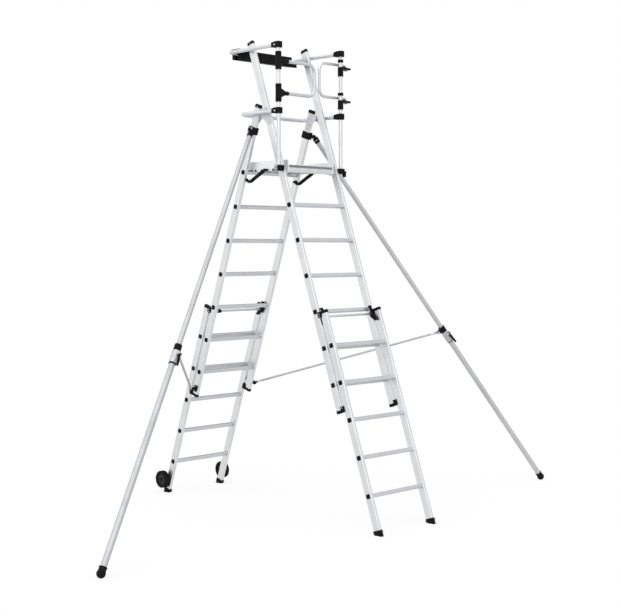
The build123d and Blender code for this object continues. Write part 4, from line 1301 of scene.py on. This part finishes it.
@dataclass
class TrayDetails:
    """Rim beads and outer ribs of the tool tray."""

    saddle: float = -0.315
    saddle_half: float = 0.0154
    near_width: float = 0.134
    far_width: float = 0.032
    left: float = -0.270
    right: float = 0.188
    rim: float = 3.555
    bead_wall: float = 0.006
    bead_height: float = 0.007
    ribs: int = 9
    rib_drop: float = 0.040
    rib_size: BarSize = (0.005, 0.060, 0.0018, 0.6)

    def build(self) -> list[Piece]:
        """Builds the beads and ribs.

        Returns:
            The pieces.
        """
        length, middle_y = self.right - self.left, (self.left + self.right) / 2
        saddle_x = LADDERS.apex_x + self.saddle
        pieces = []
        for side, width in ((Side.NEAR, self.near_width), (Side.FAR, self.far_width)):
            middle_x = saddle_x + side.value * (self.saddle_half + width / 2)
            place = Matrix.Translation(Vector((middle_x, middle_y, self.rim)))
            bead = Shapes.edge_bead((width, length, self.bead_height), self.bead_wall, side.value)
            pieces.append(fit(f"tray_{side.label}_bead", "tool_tray", BLACK_TRAY, [place], bead))
        near_x = saddle_x + self.saddle_half + self.near_width
        ribs = [
            seat(Vector((near_x, self.left + length * (n + 0.5) / self.ribs, self.rim - self.rib_drop)), X, Y)
            for n in range(self.ribs)
        ]
        return [*pieces, fit("tray_ribs", "tool_tray", BLACK_TRAY, ribs, Shapes.bar(*self.rib_size))]


@dataclass
class GateFixings:
    """Bolts in the left gate's sleeves, and screws in the ladders' top caps."""

    sleeve_start_y: float = 0.537
    sleeve_heights: Pair = (3.440, 3.200)
    sleeve_reach: float = 0.048
    sleeve_bolt: Pair = (0.011, 0.005)
    cap_alongs: Pair = (3.8388, 3.3255)
    cap_start_y: float = 0.5
    cap_screw: Pair = (0.0042, 0.0026)

    def build(self) -> list[Piece]:
        """Lands each fixing on its piece.

        Returns:
            The joined sets.
        """
        bolts = [
            Bench.land("left_gate_sleeves", Vector((POST_X, -self.sleeve_start_y, height + shift)), Y)
            for height in self.sleeve_heights
            for shift in (-self.sleeve_reach, self.sleeve_reach)
        ]
        pieces = [fit("sleeve_bolts", "left_gate", BLACK_COAT, bolts, Fixings.hex_bolt(*self.sleeve_bolt))]
        for side, along in zip(Side, self.cap_alongs):
            screws = [
                Bench.land(
                    f"{side.label}_upper_end_caps",
                    LADDERS.spot(side, LADDERS.section_offset, along, hand.value * self.cap_start_y),
                    -hand.out,
                )
                for hand in Hand
            ]
            screw = Fixings.socket_screw(*self.cap_screw)
            pieces.append(fit(f"{side.label}_cap_screws", f"{side.label}_frame", ZINC, screws, screw))
        return pieces


@dataclass
class OutriggerDetails:
    """Grip ribs, bolts, rings and ferrules of one outrigger."""

    hand: Hand
    clear: float = 0.12
    lever_pin_along: float = 2.020
    lever_pin_out: float = 0.0405
    lever_pin: Pair = (0.011, 0.0045)
    ear_half: float = 0.0152
    grips: int = 6
    grip_start: float = 0.046
    grip_pitch: float = 0.0074
    grip_size: BarSize = (0.0034, 0.011, 0.0016, 0.5)
    clamp_alongs: Pair = (2.046, 2.074)
    clamp_screw: Pair = (0.005, 0.004)
    clamp_ring_along: float = 2.0965
    clamp_ring: TubeSize = (0.0263, 0.0218, 0.0080, 0.0010)
    fork_half: float = 0.018
    fork_pin: Pair = (0.012, 0.005)
    ferrule_root: float = 0.055
    ferrule_hook: float = 0.040
    ferrule: TubeSize = (0.0108, 0.0092, 0.028, 0.0006)
    stud_clear: float = 0.1
    stud_radius: float = 0.0076
    foot_ring_up: float = 0.0405
    foot_ring: TubeSize = (0.0278, 0.0256, 0.0050, 0.0010)

    @staticmethod
    def _both_ends(middle: Vector, axis: Vector, half: float) -> list[Matrix]:
        """Seats on both ends of a pin."""
        return [seat(middle + axis * (sign * half), axis * sign) for sign in (-1, 1)]

    def _clamp(self, line: OutriggerLine) -> list[Piece]:
        """Ribs, pin heads and screws of the clamp and its lever.

        Args:
            line: The outrigger's axis.

        Returns:
            The pieces.
        """
        label = self.hand.label
        alongs = [self.lever_pin_along + self.grip_start + self.grip_pitch * step for step in range(self.grips)]
        grips = [
            Bench.land(f"{label}_clamp_lever", line.spot(along, self.clear), -line.ear, line.way)
            for along in alongs
        ]
        pin = line.spot(self.lever_pin_along, self.lever_pin_out)
        heads = self._both_ends(pin, line.turn, self.ear_half)
        screws = [
            Bench.land(f"{label}_outrigger_clamp", line.spot(along, -self.clear), line.ear)
            for along in self.clamp_alongs
        ]
        return [
            fit(f"{label}_lever_grips", f"{label}_lever", BLACK_PLASTIC, grips, Shapes.bar(*self.grip_size)),
            fit(f"{label}_lever_pin_heads", f"{label}_leg", ZINC, heads, Fixings.hex_bolt(*self.lever_pin)),
            fit(f"{label}_clamp_screws", f"{label}_leg", ZINC, screws, Fixings.socket_screw(*self.clamp_screw)),
        ]

    def _strut(self, line: OutriggerLine) -> list[Piece]:
        """Pin heads and ferrules of the strut, and the cap on its stud.

        Args:
            line: The outrigger's axis.

        Returns:
            The pieces.
        """
        label, hook, out = self.hand.label, line.hook, self.hand.out
        joint = next(joint for joint in frame["joints"] if joint["name"] == f"{label}_strut_swing")
        root = Vector(joint["pos_m"])
        pins = self._both_ends(root, Vector(joint["axis"]), self.fork_half)
        run = hook - root
        shares = (self.ferrule_root / run.length, 1.0 - self.ferrule_hook / run.length)
        ferrules = [seat(root.lerp(hook, share), run) for share in shares]
        cap = Bench.land("outrigger_brackets", hook + out * self.stud_clear, -out)
        return [
            fit(f"{label}_strut_pin_heads", f"{label}_outrigger", ZINC, pins, Fixings.hex_bolt(*self.fork_pin)),
            fit(f"{label}_strut_ferrules", f"{label}_strut", ZINC, ferrules, Shapes.tube(*self.ferrule)),
            fit(f"{label}_stud_cap", "far_frame", ZINC, [cap], Fixings.rivet(self.stud_radius)),
        ]

    def _rings(self, line: OutriggerLine) -> list[Piece]:
        """Rings at the ball foot and on top of the clamp.

        Args:
            line: The outrigger's axis.

        Returns:
            The pieces.
        """
        label = self.hand.label
        foot = seat(line.ball - line.way * self.foot_ring_up, line.way)
        top = seat(line.spot(self.clamp_ring_along), line.way)
        return [
            fit(f"{label}_foot_rings", f"{label}_leg", FOOT_RUBBER, [foot], Shapes.tube(*self.foot_ring)),
            fit(f"{label}_clamp_ring", f"{label}_leg", BLACK_PLASTIC, [top], Shapes.tube(*self.clamp_ring)),
        ]

    def build(self) -> list[Piece]:
        """Builds the details on each moving part of the outrigger."""
        line = OutriggerLine(self.hand)
        return [*self._clamp(line), *self._strut(line), *self._rings(line)]


@dataclass
class Wheel:
    """One transport wheel: a grooved tyre and a spoked hub in place of the plain solids, and the axle's nut."""

    hand: Hand
    inner_y: float = 0.312
    width: float = 0.038
    radius: float = 0.070
    rim: float = 0.0472
    shoulder: float = 0.009
    bulge: float = 1.05
    blocks: int = 48
    tread_share: float = 0.985
    groove_half: float = 0.0012
    groove_depth: float = 0.0016
    tread_edge: float = 0.0006
    spokes: int = 5
    spoke_sectors: int = 6
    hub_play: float = 0.0004
    hub_width: float = 0.020
    pocket_wall: float = 0.006
    pocket_depth: float = 0.005
    hub_edge: float = 0.0008
    boss_radius: float = 0.016
    boss_bore: float = 0.0084
    boss_edge: float = 0.001
    boss_sides: int = 36
    nut_gap: float = 0.0044
    nut: Pair = (0.013, 0.006)

    def _seat(self, y: float) -> Matrix:
        """Place on the wheel's axis that faces outwards, at a distance from the middle."""
        low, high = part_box(f"{self.hand.label}_wheel_tyre")
        return seat(Vector(((low.x + high.x) / 2, self.hand.value * y, (low.z + high.z) / 2)), self.hand.out)

    def _tyre(self) -> Piece:
        """Ring with rounded shoulders and cut grooves.

        Returns:
            The modelled tyre.
        """
        tyre = Bench.cylinder(self.blocks, self.radius, self.width)
        with Bench.editing(tyre, on_ends):
            bpy.ops.mesh.inset(thickness=self.shoulder)
            bpy.ops.transform.resize(value=(1.0, 1.0, self.bulge))
            bpy.ops.mesh.inset(thickness=self.radius - self.rim - self.shoulder)
            bpy.ops.mesh.bridge_edge_loops()
        tread = self.radius * cos(pi / self.blocks) * self.tread_share
        with Bench.editing(tyre, lambda centre, normal: centre.xy.length > tread):
            bpy.ops.mesh.inset(thickness=self.groove_half, use_individual=True)
            bpy.ops.mesh.extrude_region_shrink_fatten(TRANSFORM_OT_shrink_fatten={"value": self.groove_depth})
        Bench.bevel(tyre, self.tread_edge)
        return tyre

    def _hub(self) -> Piece:
        """Disc with a rim, sunk pockets between its spokes and a raised boss.

        Returns:
            The modelled hub.
        """
        sectors = self.spokes * self.spoke_sectors

        def pocket(centre: Vector, normal: Vector) -> bool:
            """True on the cap sectors between two spokes."""
            turn = Vector((1.0, 0.0)).angle_signed(centre.xy) % (2 * pi)
            sector = int(turn / (2 * pi / sectors)) % self.spoke_sectors
            return on_ends(centre, normal) and 0 < sector < self.spoke_sectors - 1

        hub = Bench.cylinder(sectors, self.rim - self.hub_play, self.hub_width, ends="TRIFAN")
        with Bench.editing(hub, pocket):
            bpy.ops.mesh.inset(thickness=self.pocket_wall)
            bpy.ops.mesh.extrude_region_shrink_fatten(TRANSFORM_OT_shrink_fatten={"value": -self.pocket_depth})
        Bench.bevel(hub, self.hub_edge)
        boss = Shapes.tube(self.boss_radius, self.boss_bore, self.width, self.boss_edge, self.boss_sides)
        return Bench.join(hub, boss)

    def build(self) -> list[Piece]:
        """Builds the tyre, the hub and the nut.

        Returns:
            The three pieces.
        """
        label = self.hand.label
        middle = self._seat(self.inner_y + self.width / 2)
        end = self._seat(self.inner_y + self.width + self.nut_gap)
        tyre = fit(f"{label}_tyre_grooved", f"{label}_wheel", TYRE_RUBBER, [middle], self._tyre())
        hub = fit(f"{label}_hub_spoked", f"{label}_wheel", HUB_PLASTIC, [middle], self._hub())
        nut = fit(f"{label}_axle_nut", "far_legs", BLACK_COAT, [end], Fixings.hex_bolt(*self.nut))
        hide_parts(f"{label}_wheel_tyre")
        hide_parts(f"{label}_wheel_hub")
        return [tyre, hub, nut]


@dataclass
class FootRibs:
    """Moulded rib bands round one ladder's rubber feet."""

    side: Side
    alongs: Pair = (0.022, 0.030)
    band: Triple = (0.0705, 0.0355, 0.0046)
    rounding: float = 0.0018
    segments: int = 3

    def build(self) -> list[Piece]:
        """Models one band and sets it out on both feet.

        Returns:
            The joined bands.
        """
        up, across = LADDERS.upward(self.side), LADDERS.inward(self.side)
        middle = (LADDERS.outer_face + LADDERS.inner_face) / 2
        places = [
            seat(LADDERS.spot(self.side, 0.0, along, hand.value * middle), up, across)
            for hand in Hand
            for along in self.alongs
        ]
        band = Bench.block(*self.band)
        Bench.bevel(band, self.rounding, self.segments)
        return [fit(f"{self.side.label}_foot_ribs", f"{self.side.label}_legs", FOOT_RUBBER, places, band)]


@dataclass
class Studio:
    """White floor and background, soft light and the camera of the photograph."""

    camera_place: Triple = (LADDERS.apex_x + 7.1343, -6.9576, 2.0168)
    yaw: float = radians(134.829)
    pitch: float = radians(-2.641)
    roll: float = radians(-0.167)
    sensor: float = 36.0
    focal_pixels: float = 1271.17
    shift_up_pixels: float = 2.17
    view_depth: float = 200.0
    floor_size: float = 90.0
    floor_drop: float = 0.0005
    floor_white: float = 0.95
    floor_roughness: float = 0.9
    floor_glow: float = 0.80
    world_light: float = 0.60
    key_strength: float = 1.5
    key_turn: Triple = (38.0, -16.0, 62.0)
    key_softness: float = 110.0
    fill_strength: float = 0.5
    fill_turn: Triple = (55.0, 0.0, -10.0)
    fill_softness: float = 140.0

    def build(self) -> None:
        """Builds the floor, world, lamps and camera."""
        bpy.context.scene.view_settings.view_transform = "Standard"
        self._floor()
        self._world()
        self._lamp("key_light", self.key_strength, self.key_turn, self.key_softness)
        self._lamp("fill_light", self.fill_strength, self.fill_turn, self.fill_softness)
        self._camera()

    @staticmethod
    def _seen(tree: Tree, *kinds: str) -> Socket:
        """Socket that is 1 for rays of some kinds.

        Args:
            tree: The tree that gets the nodes.
            kinds: The kinds of ray.

        Returns:
            The socket.
        """
        rays = wire(tree, "LightPath").outputs
        seen = rays[f"Is {kinds[0]} Ray"]
        for kind in kinds[1:]:
            seen = reckon(tree, "MAXIMUM", seen, rays[f"Is {kind} Ray"])
        return seen

    def _floor(self) -> None:
        """Pale floor that reads white to the camera and keeps the object's faint shadow."""
        bpy.ops.object.select_all(action="DESELECT")
        bpy.ops.mesh.primitive_plane_add(size=self.floor_size, location=(0.0, 0.0, -self.floor_drop))
        floor = bpy.context.active_object
        floor.name = "studio_floor"
        material = bpy.data.materials.new("studio_floor")
        material.use_nodes = True
        tree = material.node_tree
        shader = tree.nodes["Principled BSDF"]
        feed(tree, shader, {"Base Color": (*[self.floor_white] * 3, 1.0), "Roughness": self.floor_roughness})
        share = reckon(tree, "MULTIPLY", self._seen(tree, "Camera", "Glossy"), self.floor_glow)
        glow = wire(tree, "Emission").outputs[0]
        mix = wire(tree, "MixShader", {"Fac": share, 1: shader.outputs[0], 2: glow})
        feed(tree, tree.nodes["Material Output"], {"Surface": mix.outputs[0]})
        floor.data.materials.append(material)

    def _world(self) -> None:
        """White to the camera and in reflections, and a softer even light on the object."""
        world = bpy.data.worlds.new("studio_world")
        bpy.context.scene.world = world
        world.use_nodes = True
        tree = world.node_tree
        level = spread(tree, self._seen(tree, "Camera", "Glossy", "Transmission"), self.world_light, 1.0)
        feed(tree, tree.nodes["Background"], {"Color": (1.0, 1.0, 1.0, 1.0), "Strength": level})

    @staticmethod
    def _lamp(name: str, strength: float, turn: Triple, softness: float) -> None:
        """Adds one soft far lamp.

        Args:
            name: The lamp's name.
            strength: Its strength.
            turn: Its turn about X, Y and Z in degrees.
            softness: Width of its disc in degrees.
        """
        lamp = bpy.data.lights.new(name, "SUN")
        lamp.energy = strength
        lamp.angle = radians(softness)
        holder = bpy.data.objects.new(name, lamp)
        holder.rotation_euler = [radians(angle) for angle in turn]
        bpy.context.scene.collection.objects.link(holder)

    def _camera(self) -> None:
        """Camera at the photograph's place, angle and lens."""
        ahead = Vector((cos(self.pitch) * cos(self.yaw), cos(self.pitch) * sin(self.yaw), sin(self.pitch)))
        right = Vector((sin(self.yaw), -cos(self.yaw), 0.0))
        above = right.cross(ahead)
        turned_right = right * cos(self.roll) + above * sin(self.roll)
        turned_above = above * cos(self.roll) - right * sin(self.roll)
        data = bpy.data.cameras.new("photo_camera")
        data.sensor_fit = "HORIZONTAL"
        data.sensor_width = self.sensor
        data.lens = self.sensor * self.focal_pixels / IMAGE_WIDTH
        data.shift_y = self.shift_up_pixels / IMAGE_WIDTH
        data.clip_end = self.view_depth
        camera = bpy.data.objects.new("photo_camera", data)
        camera.matrix_world = axes(Vector(self.camera_place), turned_right, turned_above, -ahead)
        bpy.context.scene.collection.objects.link(camera)
        bpy.context.scene.camera = camera


def main() -> None:
    """Builds every sub-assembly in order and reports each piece."""
    logging.basicConfig(level=logging.INFO, format="%(name)s: %(message)s")
    sections = [(side, section) for side in Side for section in Section]
    assemblies = (
        NodeDressing(),
        *(RungTreads(*section) for section in sections),
        *(PlugFaces(*section) for section in sections),
        LatchSleeve(Side.NEAR),
        LatchSleeve(Side.FAR, grip_y=(-0.199,)),
        Hardware(),
        DeckDetails(),
        TrayDetails(),
        GateFixings(),
        *(OutriggerDetails(hand) for hand in Hand),
        *(Wheel(hand) for hand in Hand),
        *(FootRibs(side) for side in Side),
    )
    for assembly in assemblies:
        for piece in assembly.build():
            log.info("%s: %s", type(assembly).__name__, piece.name)
    Studio().build()


if __name__ == "__main__":
    main()
